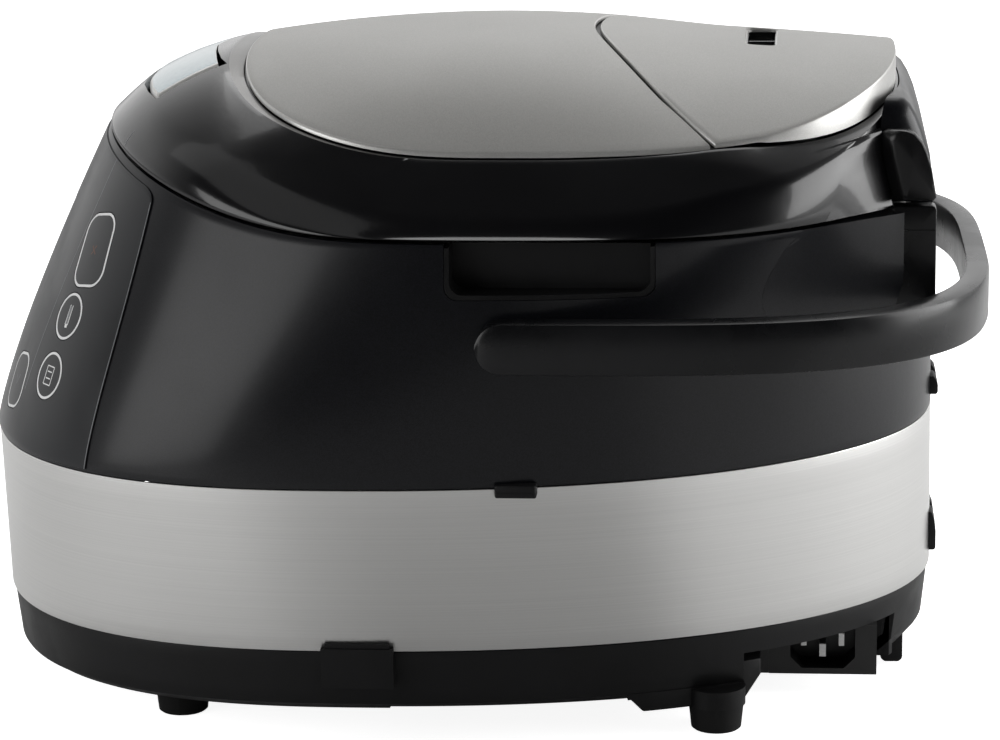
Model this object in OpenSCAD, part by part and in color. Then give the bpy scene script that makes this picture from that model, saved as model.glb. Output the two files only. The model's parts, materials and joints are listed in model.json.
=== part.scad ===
// Hinged-lid electric multicooker: shell, cooking well, lid with steam cover, latch, keys and bail handle.
// Front is -Y, rear is +Y, the user's right is +X. The origin is on the table under the middle of the plan.

/* [Body] */
// Width of the body at the top of the steel band
body_w = 295.4; // [286:0.2:300]
// Reach of the body in front of its widest line
front_reach = 141; // [136:0.5:146]
// Reach of the body behind its widest line
rear_reach = 215.5; // [210:0.5:218]
// Place of the widest line along Y
widest_y = -46.8; // [-50:0.1:-44]
// Height of the lower edge of the steel band
band_z0 = 37; // [34:0.5:40]
// Height of the upper edge of the steel band
band_z1 = 99.5; // [90:0.5:104]
// Inward lean of the band's lower edge at the sides
band_lean = 11.5; // [8:0.5:13]
// Wall of the plastic shells
wall = 2.6; // [2.2:0.1:3]

/* [Lid] */
// Width of the lid at its parting line
lid_w = 276; // [272:0.5:278]
// Reach of the lid in front of the cooking well's axis
lid_front = 155; // [150:0.5:158]
// Reach of the lid behind the cooking well's axis
lid_rear = 141; // [138:0.5:142]
// Height of the parting line at the sides and rear
seam_z = 186; // [184:0.5:188]
// Rise of the parting line towards the front
seam_rise = 28; // [25:0.5:28]
// Height of the top of the lid
top_z = 244.6; // [242:0.2:246]
// Gap between the lid and the body
seam_gap = 1.4; // [1:0.1:2]

/* [Cooking well] */
// Place of the well's axis along Y
well_y = 14; // [12:0.5:16]
// Outer radius of the inner pot
pot_r = 117; // [112:0.5:118]
// Height of the inner pot's rim
rim_z = 183.7; // [182:0.1:184]
// Height of the underside of the inner pot
pot_z = 46.5; // [45:0.5:50]

/* [Handle] */
// Height of the handle's pivots
pivot_z = 151.2; // [149:0.2:153]
// Place of the handle's pivots along Y
pivot_y = 16.7; // [14:0.1:20]
// Outer width of the handle
bail_w = 307; // [304:1:310]
// Reach of the handle behind its pivots
bail_reach = 171.7; // [170:0.1:173]
// Depth of the handle's strap
bail_h = 18.5; // [16:0.5:20]
// Thickness of the handle's strap
bail_t = 8.6; // [8:0.1:9]
// Radius of the handle's pivot pins
pivot_r = 4; // [3:0.5:5]

/* [Hinge] */
// Place of the lid's hinge axis along Y
hinge_y = 162.5; // [162:0.5:163]
// Height of the lid's hinge axis
hinge_z = 179; // [178:0.5:180]
// Radius of the hinge knuckles
knuckle_r = 5; // [4.6:0.1:5.2]
// Radius of the hinge pins
pin_r = 2.5; // [2:0.1:3]

/* [Feet and inlet] */
// Radius of a foot at its top
foot_r = 10; // [8:0.5:11]
// Height of a foot
foot_h = 9.3; // [8:0.1:10]
// Width of the inlet's cavity
inlet_w = 24; // [24:0.5:25]
// Height of the inlet's cavity
inlet_h = 16; // [16:0.5:17]

/* [Keys] */
// Diameter of a round key
key_d = 18; // [14:0.5:20]
// Gap around a key
key_gap = 0.35; // [0.3:0.05:0.5]

/* [Hidden] */

$fn = 48;
n_ring = 64;             // points around the large shells
steel = "silver";
plastic = "#2b2c2f";
black = "#101012";

// ---- plan curves ------------------------------------------------------------------------------

// Distance from the centre to a superellipse of half-sizes a and b and power n, at polar angle p
function se_r(a, b, n, p) = pow(pow(abs(cos(p)) / a, n) + pow(abs(sin(p)) / b, n), -1 / n);

// One point of an egg-shaped outline: [a, front, rear, centre y, front power, rear power], grown by g
function egg_pt(e, g, p) =
  let (rear = sin(p) >= 0,
       r = se_r(e[0] + g, (rear ? e[2] : e[1]) + g, rear ? e[5] : e[4], p))
  [r * cos(p), e[3] + r * sin(p)];

function angles(n) = [for (i = [0 : n - 1]) 360 * i / n];
function egg(e, g = 0, n = n_ring) = [for (p = angles(n)) egg_pt(e, g, p)];
function circle_pts(r, y, n = n_ring) = [for (p = angles(n)) [r * cos(p), y + r * sin(p)]];
function at_z(pts, z) = [for (q = pts) [q[0], q[1], z]];
function mix(a, b, t) = a + (b - a) * t;
function mix_rings(a, b, t) = [for (i = [0 : len(a) - 1]) mix(a[i], b[i], t)];

body_top = [body_w / 2, front_reach, rear_reach, widest_y, 2.42, 2.13];
body_low = [body_w / 2 - band_lean, front_reach - 1, rear_reach + 0.5, widest_y, 2.42, 2.13];
base_mid = [body_w / 2 - band_lean - 3, front_reach - 4, rear_reach - 2.5, widest_y, 2.42, 2.13];
base_low = [body_w / 2 - band_lean - 17, front_reach - 9, rear_reach - 8, widest_y, 2.42, 2.2];
seam_egg = [lid_w / 2, lid_front, lid_rear, well_y, 2.5, 2.6];
open_egg = [lid_w / 2 - 29.5, lid_front - 48, lid_rear - 6.5, well_y + 5, 3.45, 2.85];

// ---- heights of the lid -----------------------------------------------------------------------

// Height of the parting line at depth y
function seam_at(y) = seam_z + seam_rise * pow(max(0, -26 - y) / 115, 2.2);

// Rise of the dome over the middle of the lid, and the height of the lid's middle without it
dome_rise = 3;
ridge_z = top_z - dome_rise;
function ridge_at(y) = ridge_z - 22.6 * pow(max(0, -26 - y) / 113, 3.5) - 6.6 * pow(max(0, y - 44) / 109, 1.5);

// Share of the dome over the middle of the lid, 0 at its ends
dome_y = 3;
dome_reach = 90;
function dome_at(y) = pow(max(0, 1 - pow((y - dome_y) / dome_reach, 2)), 2);

// Height of the lid's top surface: a dome as far as the opening's half width, a straight slope outside it
side_drop = 31;
side_x = open_egg[0];
function crown_at(x, y) =
  let (s = abs(x) / side_x, d = dome_at(y))
  s < 1
    ? ridge_at(y) + dome_rise * d * (1 - s * s) - side_drop * pow(s, 2.5 + 1.2 * d)
    : ridge_at(y) - side_drop - (ridge_z - seam_z - side_drop) * (abs(x) - side_x) / (lid_w / 2 - 1 - side_x);

// Step down of the lid's rim under the steam cover
cover_step = 11;
function smooth(t) = let (c = min(1, max(0, t))) c * c * (3 - 2 * c);
function step_at(y) = cover_step * smooth((y - 84) / 66);

// ---- closed skins -----------------------------------------------------------------------------

// Two triangles for each cell between ring r and ring r + 1
function band_faces(rings, n, wrap) =
  [for (r = [0 : rings - (wrap ? 1 : 2)], i = [0 : n - 1])
    let (a = r * n + i, b = r * n + (i + 1) % n, s = (r + 1) % rings,
         c = s * n + (i + 1) % n, d = s * n + i)
    each [[a, d, c], [a, c, b]]];

// Solid between the first and the last ring, closed there by fans
module skin(rings) {
  n = len(rings[0]);
  k = len(rings);
  mid0 = mix(rings[0][0], rings[0][floor(n / 2)], 0.5);
  mid1 = mix(rings[k - 1][0], rings[k - 1][floor(n / 2)], 0.5);
  skin_to(rings, mid0, mid1);
}

module skin_to(rings, mid0, mid1) {
  n = len(rings[0]);
  k = len(rings);
  pts = concat([for (r = rings) each r], [mid0, mid1]);
  fan0 = [for (i = [0 : n - 1]) [i, (i + 1) % n, n * k]];
  fan1 = [for (i = [0 : n - 1]) [(k - 1) * n + (i + 1) % n, (k - 1) * n + i, n * k + 1]];
  polyhedron(pts, concat(band_faces(k, n, false), fan0, fan1), 6);
}

// Ring-shaped solid: the last ring joins the first
module hoop(rings) {
  polyhedron([for (r = rings) each r], band_faces(len(rings), len(rings[0]), true), 6);
}

// ---- surface of the upper housing ---------------------------------------------------------------

function lean_power(p) = sin(p) < 0 ? 1.5 + 0.28 * sin(p) : 1.5 + 0.9 * sin(p);

// Point of the housing at polar angle p and height share t, grown by g
function housing_pt(p, t, g = 0) =
  let (low = egg_pt(body_top, g, p), high = egg_pt(seam_egg, g, p), w = pow(t, lean_power(p)),
       q = mix(low, high, w))
  [q[0], q[1], mix(band_z1, seam_at(high[1]) - seam_gap, t)];

housing_steps = [0, 0.12, 0.28, 0.46, 0.64, 0.82, 1];
function housing_rings(g) = [for (t = housing_steps) [for (p = angles(n_ring)) housing_pt(p, t, g)]];

function unit(v) = v / norm(v);
function housing_normal(p, t) =
  unit(cross(housing_pt(p + 1, t) - housing_pt(p - 1, t), housing_pt(p, t + 0.02) - housing_pt(p, max(0, t - 0.02))));

// Everything inside the body's outer surface, grown by g
module body_solid(g = 0) {
  skin(concat(
    [at_z(egg(base_low, g), 10 - g), at_z(egg(base_mid, g), 17), at_z(egg(body_low, g), band_z0)],
    housing_rings(g)));
}

module both_sides() {
  children();
  mirror([1, 0, 0]) children();
}

// Box from one corner to the opposite one
module block(lo, hi) {
  translate(lo) cube(hi - lo);
}

// Cylinder along X from x0 to x1
module rod_x(x0, x1, r, y, z) {
  translate([x0, y, z]) rotate([0, 90, 0]) cylinder(h = x1 - x0, r = r);
}

// ---- base ---------------------------------------------------------------------------------------

foot_front = [92, -109];
foot_rear = [103.5, 89];
floor_z = 15;
pocket_y = [99, 155];
pocket_x = 50;
pocket_top = 27.5;
inlet_y = mix(pocket_y[0], pocket_y[1], 0.5) + 0.7;
inlet_face = 66;
inlet_z = 18.5;

module tub() {
  skin([
    at_z(egg(base_low), 10),
    at_z(egg(base_mid), 17),
    at_z(egg(body_low, -0.9), band_z0 - 0.3),
    at_z(egg(body_low, -0.9 - wall), band_z0 - 0.3),
    at_z(egg(base_mid, -wall), 19),
    at_z(egg(base_low, -wall), floor_z)
  ]);
}

module foot_boss() {
  intersection() {
    skin([at_z(egg(base_mid, -1), 9.3), at_z(egg(base_mid, -0.5), 30)]);
    union() {
      block([86, foot_rear[1] - 31, 9.3], [125, foot_rear[1] + 11.5, 20]);
      block([86, foot_rear[1] - 27, 14], [125, foot_rear[1] + 13, 22]);
    }
  }
}

module base_tub() {
  color(black) difference() {
    union() {
      tub();
      both_sides() foot_boss();
      both_sides() translate([foot_front[0], foot_front[1], 9.3]) cylinder(h = 8, r = foot_r + 1.5);
      block([-30, 150, 1.6], [30, 158.4, 17]);
      intersection() {
        skin([at_z(egg(base_low, -0.2), 10.1), at_z(egg(base_mid, -0.2), 17), at_z(egg(body_low, -1.2), 36)]);
        block([pocket_x - 3, pocket_y[0] - 3, 10], [140, pocket_y[1] + 3, pocket_top + 2.2]);
      }
      for (a = [90, 210, 330])
        translate([70 * cos(a), well_y + 70 * sin(a), floor_z - 1]) cylinder(h = 12, r = 7);
    }
    block([pocket_x, pocket_y[0], 0], [150, pocket_y[1], pocket_top]);
    block([-150, -28.5, 5], [150, 57, 12.4]);
    for (x = [-42 : 12 : 42]) block([x - 2, 62, 5], [x + 2, 92, 20]);
    for (x = [-42 : 12 : 42]) block([x - 2, -74, 5], [x + 2, -44, 20]);
    both_sides() for (f = [foot_front, foot_rear])
      translate([f[0], f[1], 5]) cylinder(h = 30, r = 1.6);
  }
}

module rubber_feet() {
  color("#18181a") both_sides() for (f = [foot_front, foot_rear]) translate([f[0], f[1], 0])
    rotate_extrude() polygon([
      [3.6, 2.5], [3.6, 0.6], [4.4, 0], [foot_r - 1.6, 0], [foot_r - 0.9, 0.6],
      [foot_r, foot_h], [1.7, foot_h], [1.7, 2.5]]);
}

module foot_screws() {
  color(steel) both_sides() for (f = [foot_front, foot_rear]) translate([f[0], f[1], 0]) {
    translate([0, 0, 2.6]) cylinder(h = 13, r = 1.55);
    translate([0, 0, 1.2]) difference() {
      cylinder(h = 1.3, r = 3);
      translate([0, 0, -1]) cylinder(h = 1.7, r = 1.1, $fn = 6);
    }
    translate([0, 0, 2.4]) cylinder(h = 0.3, r = 1.55);
  }
}

module base_lugs() {
  color(black) both_sides() difference() {
    union() {
      block([125, -50.5, 24], [138.4, -24.5, 38.6]);
      block([125, -49, 24], [137.8, -26, 40.4]);
    }
    body_solid(0.12);
  }
}

// ---- band and housing ---------------------------------------------------------------------------

module steel_band() {
  color(steel) hoop([
    at_z(egg(body_low, -0.1), band_z0),
    at_z(egg(body_top, -0.1), band_z1 - 0.3),
    at_z(egg(body_top, -1.1), band_z1 - 0.3),
    at_z(egg(body_low, -1.1), band_z0)
  ]);
}

module band_clips() {
  color(black) both_sides() difference() {
    block([135, 11.5, band_z1 - 4.2], [145.8, 25.8, band_z1 + 1.6]);
    body_solid(0.1);
  }
}

grip_y = [-4, 68.8];
grip_z = 165.6;
grip_x = 126.6;

module grip_outline(inset) {
  r = 4.6;
  y0 = grip_y[0] + inset;
  y1 = grip_y[1] - inset;
  z0 = grip_z + inset;
  translate([y0 + r, z0]) square([y1 - y0 - 2 * r, 60]);
  translate([y0, z0 + r]) square([y1 - y0, 60]);
  for (y = [y0 + r, y1 - r]) translate([y, z0 + r]) circle(r);
}

module grip_prism(x0, inset) {
  translate([x0, 0, 0]) rotate([90, 0, 90]) linear_extrude(60) grip_outline(inset);
}

module upper_housing() {
  color(plastic) difference() {
    hoop(concat(housing_rings(0), [for (i = [6 : -1 : 0]) housing_rings(-wall)[i]]));
    both_sides() grip_prism(grip_x - 2, 0);
    rod_x(-160, 160, pivot_r, pivot_y, pivot_z);
    for (k = keys) key_frame(k) translate([0, 0, -8]) key_shape(k, key_gap + 0.1, 20);
    window_prism(0.4);
  }
}

bumper_y = 171.2;               // rear face
bumper_z = [103.5, 44];         // undersides of the upper and the lower pair

module rear_bumpers() {
  color(black) difference() {
    union() {
      block([34, 164, bumper_z[0]], [46, bumper_y, bumper_z[0] + 7]);
      block([-46, 164, bumper_z[0]], [-34, bumper_y, bumper_z[0] + 7]);
      block([34, 164, bumper_z[1]], [46, bumper_y - 0.4, bumper_z[1] + 14]);
      block([-46, 164, bumper_z[1]], [-34, bumper_y - 0.4, bumper_z[1] + 14]);
    }
    body_solid(0.1);
    block([30, bumper_y - 2.4, bumper_z[0] + 2], [50, bumper_y - 0.8, bumper_z[0] + 5]);
    block([-50, bumper_y - 2.4, bumper_z[0] + 2], [-30, bumper_y - 0.8, bumper_z[0] + 5]);
  }
}

// ---- control panel --------------------------------------------------------------------------------

// Keys: [name, polar angle, height share, width, height, tilt]
keys = [
  ["start_key", -55.8, 0.716, 21, 28.5, 9],
  ["right_key_upper", -53.1, 0.494, key_d, key_d, 0],
  ["right_key_lower", -50.5, 0.29, key_d, key_d, 0],
  ["centre_key_right", -60.9, 0.202, 20, 21.5, 9],
  ["left_key_top", 235.8, 0.716, 21, 28.5, -9],
  ["left_key_upper", 233.1, 0.494, key_d, key_d, 0],
  ["left_key_lower", 230.5, 0.29, key_d, key_d, 0],
  ["centre_key_left", 240.9, 0.202, 20, 21.5, -9]
];
key_travel = 0.6;
key_depth = 4.2;
panel_t = 0.6;

// Moves to the outer face of the front panel at a key, with Z along the outward normal
module key_frame(k) {
  n = housing_normal(k[1], k[2]);
  translate(housing_pt(k[1], k[2]) + n * panel_t)
    rotate([0, acos(n[2]), atan2(n[1], n[0])]) rotate([0, 0, k[5]]) children();
}

// Outline of a key: round, or a rectangle with round corners; grown by g and h deep
module key_shape(k, g, h) {
  if (k[3] == k[4]) cylinder(h = h, r = k[3] / 2 + g);
  else linear_extrude(h) {
    r = 7;
    square([k[4] + 2 * g, k[3] - 2 * r], center = true);
    square([k[4] - 2 * r, k[3] + 2 * g], center = true);
    for (x = [-1, 1], y = [-1, 1])
      translate([x * (k[4] / 2 - r), y * (k[3] / 2 - r)]) circle(r + g);
  }
}

module one_key(i) {
  color("#3a3b3f") key_frame(keys[i]) translate([0, 0, -key_depth]) key_shape(keys[i], 0, key_depth);
}

window_w = 78;
window_h = 42;
window_p = 270;
window_t = 0.578;

module window_prism(g) {
  n = housing_normal(window_p, window_t);
  translate(housing_pt(window_p, window_t)) rotate([0, acos(n[2]), -90])
    translate([0, 0, -5]) linear_extrude(30) square([window_h + 2 * g, window_w + 2 * g], center = true);
}

// Columns of points across the panel, its rows, and its half-angle at height share t
panel_cols = 36;
panel_rows = [0.012, 0.2, 0.4, 0.6, 0.8, 0.975];
function panel_half(t) = 55 - 17 * pow(t, 1.45);
function panel_angle(i, t) = 270 + (2 * i / (panel_cols - 1) - 1) * panel_half(t);
function panel_pt(i, t, g) =
  let (p = panel_angle(i, t)) housing_pt(p, t) + housing_normal(p, t) * g;

module front_panel() {
  rings = [for (t = panel_rows) concat(
    [for (i = [0 : panel_cols - 1]) panel_pt(i, t, panel_t)],
    [for (i = [panel_cols - 1 : -1 : 0]) panel_pt(i, t, -1.4)])];
  color("#303236") difference() {
    panel_skin(rings, panel_cols);
    body_solid(0.06);
    for (k = keys) key_frame(k) translate([0, 0, -8]) key_shape(k, key_gap, 20);
    window_prism(0.2);
  }
}

// Closed strip: each ring is an outer row and the inner row back again
module panel_skin(rings, np) {
  n = 2 * np;
  k = len(rings);
  caps = [for (i = [0 : np - 2]) each [
    [i, i + 1, n - 1 - i], [i + 1, n - 2 - i, n - 1 - i],
    [(k - 1) * n + i + 1, (k - 1) * n + i, (k - 1) * n + n - 1 - i],
    [(k - 1) * n + n - 2 - i, (k - 1) * n + i + 1, (k - 1) * n + n - 1 - i]]];
  polyhedron([for (r = rings) each r], concat(band_faces(k, n, false), caps), 6);
}

module display_window() {
  color("#0b0c0f") intersection() {
    window_prism(0);
    difference() {
      body_solid(0.5);
      body_solid(-3);
    }
  }
}

module control_board() {
  color("darkgreen") translate([0, -148, 141]) rotate([-22, 0, 0]) cube([104, 1.6, 58], center = true);
}

module key_switches() {
  color("#202020") for (k = keys) key_frame(k)
    translate([0, 0, -key_depth - key_travel - 4.4]) {
      translate([-3.5, -3.5, 0]) cube([7, 7, 3.4]);
      cylinder(h = 4.3, r = 1.8);
    }
}

// ---- grips, deck, well ------------------------------------------------------------------------------

module grip_cup() {
  color(black) intersection() {
    body_solid(-0.1);
    difference() {
      grip_prism(grip_x - 1.8, 0.15);
      grip_prism(grip_x + 0.6, 1.8);
      block([120, -40, seam_z - seam_gap - 1.2], [160, 100, 240]);
    }
  }
}

module top_deck() {
  outer = egg(seam_egg, -4.7);
  land = circle_pts(pot_r + 8, well_y);
  rim = [for (q = outer) [q[0], q[1], seam_at(q[1]) - 3.2]];
  land_z = rim_z - 2.3;
  top = [rim, mix_rings(rim, at_z(land, land_z), 0.6), at_z(land, land_z),
    at_z(circle_pts(pot_r + 5, well_y), land_z)];
  low = [for (k = [3 : -1 : 0]) [for (q = top[k]) q - [0, 0, 3]]];
  color("#26272a") difference() {
    hoop(concat(top, low));
    both_sides() block([grip_x - 2.2, grip_y[0] - 1, 150], [160, grip_y[1] + 1, 200]);
    block([-14, -200, 150], [14, -118, 230]);
  }
}

module latch_striker() {
  color(steel) difference() {
    block([-13.6, -136.5, 180], [13.6, -119, 197.5]);
    block([-9, -134.5, 182], [9, -124.1, 200]);
    block([-9, -134.5, 182], [9, -121, 195.9]);
  }
}

module heat_shield() {
  color("#b9bcc0") translate([0, well_y, 0]) rotate_extrude() polygon([
    [92, 30], [pot_r + 5.8, 30], [pot_r + 6.8, 31], [pot_r + 6.8, 176], [pot_r + 5.8, 176],
    [pot_r + 5.8, 31.2], [92, 31.2]]);
}

module heating_plate() {
  color("#a9abad") translate([0, well_y, 0]) {
    difference() {
      rotate_extrude() polygon([
        [21, 36], [89, 36], [90, 37], [90, 44.6], [88, 46], [21, 46]]);
      for (a = [60, 180, 300]) rotate([0, 0, a]) translate([55, 0, 34]) cylinder(h = 6, r = 3);
    }
    for (a = [90, 210, 330]) rotate([0, 0, a]) translate([70, 0, floor_z + 11]) cylinder(h = 10.2, r = 5);
    rotate_extrude() translate([66, 34.6]) circle(r = 2.6, $fn = 16);
  }
}

module sensor_plunger() {
  color("#c4c6c8") translate([0, well_y, 0]) {
    rotate_extrude() polygon([
      [0, 46.3], [16, 46.3], [17.5, 45], [17.5, 38], [16.7, 38], [16.7, 44.6], [0, 44.6]]);
    translate([0, 0, 22]) cylinder(h = 23, r = 4);
  }
}

module sensor_spring() {
  color(steel) translate([0, well_y, 0]) difference() {
    translate([0, 0, floor_z + 2]) cylinder(h = 27.4, r = 9);
    translate([0, 0, floor_z]) cylinder(h = 30, r = 7.4);
  }
}

module inner_pot() {
  color("#3c3c3e") translate([0, well_y, 0]) rotate_extrude() polygon(concat(
    [[0, pot_z], [pot_r - 22, pot_z]],
    [for (a = [15 : 15 : 90]) [pot_r - 22 + 22 * sin(a), pot_z + 22 - 22 * cos(a)]],
    [[pot_r, rim_z - 2], [pot_r + 6, rim_z - 2], [pot_r + 7, rim_z - 1.4], [pot_r + 6, rim_z],
     [pot_r - 1.2, rim_z], [pot_r - 2, rim_z - 0.8]],
    [for (a = [90 : -15 : 15]) [pot_r - 22 + 20 * sin(a), pot_z + 22 - 20 * cos(a)]],
    [[pot_r - 22, pot_z + 2], [0, pot_z + 2]]));
}

module power_board() {
  color("darkgreen") block([-62, -160, floor_z + 4], [62, -116, floor_z + 5.6]);
  color("#caa24a") for (x = [-40, -8, 26]) block([x, -152, floor_z + 5.6], [x + 20, -126, floor_z + 20]);
  color("#202020") for (x = [-56, 56], y = [-152, -122])
    translate([x, y, floor_z]) cylinder(h = 4, r = 3);
}

// ---- inlet ------------------------------------------------------------------------------------------

module inlet_outline() {
  w = inlet_w / 2;
  h = inlet_h / 2;
  c = 4.2;
  polygon([[-w, h], [-w, c - h], [c - w, -h], [w - c, -h], [w, c - h], [w, h]]);
}

module inlet_socket() {
  color("#0c0c0d") difference() {
    block([pocket_x, inlet_y - 20, 8.2], [inlet_face, inlet_y + 20, pocket_top]);
    translate([inlet_face - 14, inlet_y, inlet_z]) rotate([90, 0, 90]) linear_extrude(20) inlet_outline();
  }
}

module inlet_pins() {
  color(steel) for (q = [[-7, 2.2, 1], [7, 2.2, 1], [0, -2, 1.2]])
    translate([inlet_face - 14, inlet_y + q[0], inlet_z + q[1]]) block([0, -q[2], -2.4], [11, q[2], 2.4]);
}

// ---- hinge ------------------------------------------------------------------------------------------

tower_x = [66, 75];
tower_knuckle = [50.5, 65.8];
lid_knuckle = [36, 50];

module hinge_towers() {
  color(black) difference() {
    both_sides() union() {
      difference() {
        translate([tower_x[0], 0, 0]) rotate([90, 0, 90]) linear_extrude(tower_x[1] - tower_x[0])
          polygon([[138, 150], [165, 150], [167, 153], [167, 182], [154.4, 178.2], [138, 178.2]]);
        rod_x(60, 80, knuckle_r + 2.6, hinge_y, hinge_z);
        block([60, 150, hinge_z], [80, 170, 190]);
      }
      rod_x(tower_knuckle[0], tower_knuckle[1], knuckle_r, hinge_y, hinge_z);
      block([tower_knuckle[0], 140, 165], [tower_x[0], hinge_y, hinge_z - knuckle_r * 0.8]);
      block([tower_knuckle[0], 140, 165], [tower_knuckle[1], hinge_y, hinge_z - 0.8]);
    }
    body_solid(0.12);
    both_sides() rod_x(40, 66.4, pin_r, hinge_y, hinge_z);
  }
}

module hinge_pins() {
  color(steel) both_sides() rod_x(lid_knuckle[0] - 1, tower_knuckle[1] - 0.3, pin_r, hinge_y, hinge_z);
}

module hinge_springs() {
  color("#8c8f93") both_sides() difference() {
    rod_x(22, lid_knuckle[0] - 1.2, 4.6, hinge_y, hinge_z);
    rod_x(20, 40, 3.4, hinge_y, hinge_z);
  }
  color(steel) rod_x(-lid_knuckle[0] + 1, lid_knuckle[0] - 1, pin_r, hinge_y, hinge_z);
}

module lid_hinge_arms() {
  color(black) both_sides() difference() {
    union() {
      translate([tower_x[0], 0, 0]) rotate([90, 0, 90]) linear_extrude(tower_x[1] - tower_x[0])
        polygon([[140, hinge_z + 9.6], [hinge_y - 5, hinge_z + 0.4], [hinge_y, hinge_z],
          [hinge_y + knuckle_r, hinge_z], [167.2, 181], [166.2, 190], [164.2, 200], [162, 207],
          [158.8, 212], [154, 214.4], [140, 214.4]]);
      rod_x(tower_x[0], tower_x[1], knuckle_r, hinge_y, hinge_z);
    }
    lid_plan_prism(0.15);
  }
}

// Everything inside the lid's parting outline, above its lower edge
module lid_plan_prism(g) {
  translate([0, 0, 150]) linear_extrude(120) polygon(egg(seam_egg, g));
}

module lid_rear_cover() {
  color(plastic) {
    difference() {
      translate([-tower_x[0] + 0.4, 0, 0]) rotate([90, 0, 90]) linear_extrude(2 * tower_x[0] - 0.8)
        polygon([[140, 187], [165.4, 187], [166.6, 190], [165, 203], [162.4, 212], [160, 217.7],
          [157.6, 222], [154.4, 224.2], [140, 224.2]]);
      lid_plan_prism(0.15);
    }
    both_sides() difference() {
      union() {
        rod_x(lid_knuckle[0], lid_knuckle[1], knuckle_r, hinge_y, hinge_z);
        block([lid_knuckle[0], hinge_y - 4, hinge_z + 3], [lid_knuckle[1], hinge_y + 4, 188]);
      }
      rod_x(30, 60, pin_r + 0.05, hinge_y, hinge_z);
    }
  }
}

// ---- handle -------------------------------------------------------------------------------------------

module bail_pivots() {
  color(steel) both_sides() rod_x(body_w / 2 - 9, bail_w / 2 - 3.2, pivot_r, pivot_y, pivot_z);
}

function bail_pt(g, p) =
  let (r = se_r(bail_w / 2 - g, bail_reach - g, 3.5, p)) [r * cos(p), pivot_y + r * sin(p)];

function bail_section(p) =
  let (o = bail_pt(0, p), i = bail_pt(bail_t, p), z0 = pivot_z - bail_h / 2, z1 = pivot_z + bail_h / 2,
       a = 1.2 / bail_t, b = 3 / bail_t)
  [for (q = [[i, z0 + 1.2], [mix(i, o, a), z0], [mix(o, i, a), z0], [o, z0 + 1.2], [o, z1 - 3],
     [mix(o, i, b), z1], [mix(i, o, a), z1], [i, z1 - 1.2]]) [q[0][0], q[0][1], q[1]]];

module bail_handle() {
  sections = [for (k = [0 : 36]) bail_section(180 - k * 5)];
  color("#232427") difference() {
    union() {
      skin(sections);
      both_sides() rod_x(bail_w / 2 - bail_t, bail_w / 2, bail_h / 2, pivot_y, pivot_z);
    }
    both_sides() rod_x(bail_w / 2 - bail_t - 1, bail_w / 2 - 2.9, pivot_r + 0.05, pivot_y, pivot_z);
  }
}

// ---- lid ----------------------------------------------------------------------------------------------

edge_share = 0.3;       // part of the rim's width taken by its rounded outer edge
rim_steps = [0, 0.03, 0.09, 0.18, 0.3, 0.5, 0.75, 1];
function edge_rise(s) = s >= edge_share ? 1 : sqrt(1 - pow(1 - s / edge_share, 2));

function rim_pt(p, s, g) =
  let (low = egg_pt(seam_egg, g, p), high = egg_pt(open_egg, g, p), q = mix(low, high, s),
       z0 = seam_at(low[1]), z1 = crown_at(q[0], q[1]) - step_at(q[1]))
  [q[0], q[1], z0 + (max(z1, z0 + 1) - z0) * edge_rise(s) + g * edge_rise(s)];

// Tilted prism through the front of the lid for the latch button, grown by g
button_mid = [-115, 228];         // y and z
button_tilt = 26;

module button_prism(g) {
  translate([0, button_mid[0], button_mid[1]]) rotate([button_tilt, 0, 0]) translate([0, 0, -30])
    linear_extrude(60) button_outline(g);
}

module button_outline(g) {
  polygon([
    [-59 - g, -3 - g], [-48, -7.2 - g], [-30, -11.4 - g], [0, -13.3 - g], [30, -11.4 - g], [48, -7.2 - g],
    [59 + g, -3 - g], [44 + g, 21 + g], [19, 15.6 + g], [0, 12.8 + g], [-19, 15.6 + g], [-44 - g, 21 + g]]);
}

module lid_shell() {
  outer = [for (s = rim_steps) [for (p = angles(n_ring)) rim_pt(p, s, 0)]];
  inner = [for (i = [len(rim_steps) - 1 : -1 : 0]) [for (p = angles(n_ring)) rim_pt(p, rim_steps[i], -wall)]];
  color(black) difference() {
    hoop(concat(outer, inner));
    button_prism(0.6);
  }
}

// The top plates fill the lid's opening and meet at an arc about this centre
arc_r = 135;
arc_y = 178;
arc_gap = 2;

// Polar angle where the opening's outline, grown by g, crosses the arc of radius r
function horn_at(g, r, lo = 20, hi = 60, n = 22) =
  let (m = (lo + hi) / 2, q = egg_pt(open_egg, g, m))
  n == 0 ? m : norm([q[0], arc_y - q[1]]) > r ? horn_at(g, r, m, hi, n - 1) : horn_at(g, r, lo, m, n - 1);
function arc_end(g, r) = let (q = egg_pt(open_egg, g, horn_at(g, r))) atan2(q[0], arc_y - q[1]);
function arc_pt(a, r) = [r * sin(a), arc_y - r * cos(a)];

function insert_plan() =
  let (g = -2, r = arc_r + arc_gap, p = horn_at(g, r), a = arc_end(g, r))
  concat(
    [for (k = [0 : 48]) egg_pt(open_egg, g, 180 - p + k * (180 + 2 * p) / 48)],
    [for (k = [1 : 19]) arc_pt(a - k * a / 10, r)]);

// The steam cover reaches over the lid's rim where the rim is stepped down
function cover_g(p) = -2 + 2.2 * min(1, step_at(egg_pt(open_egg, 0, p)[1]) / 3);
function cover_plan() =
  let (g = -2, p = horn_at(g, arc_r), a = arc_end(g, arc_r))
  concat(
    [for (k = [0 : 40]) let (t = p + k * (180 - 2 * p) / 40) egg_pt(open_egg, cover_g(t), t)],
    [for (k = [1 : 19]) arc_pt(k * a / 10 - a, arc_r)]);

function crowned(plan, c, s, dz) =
  [for (q = plan) let (x = c[0] + (q[0] - c[0]) * s, y = c[1] + (q[1] - c[1]) * s) [x, y, crown_at(x, y) + dz]];

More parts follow.
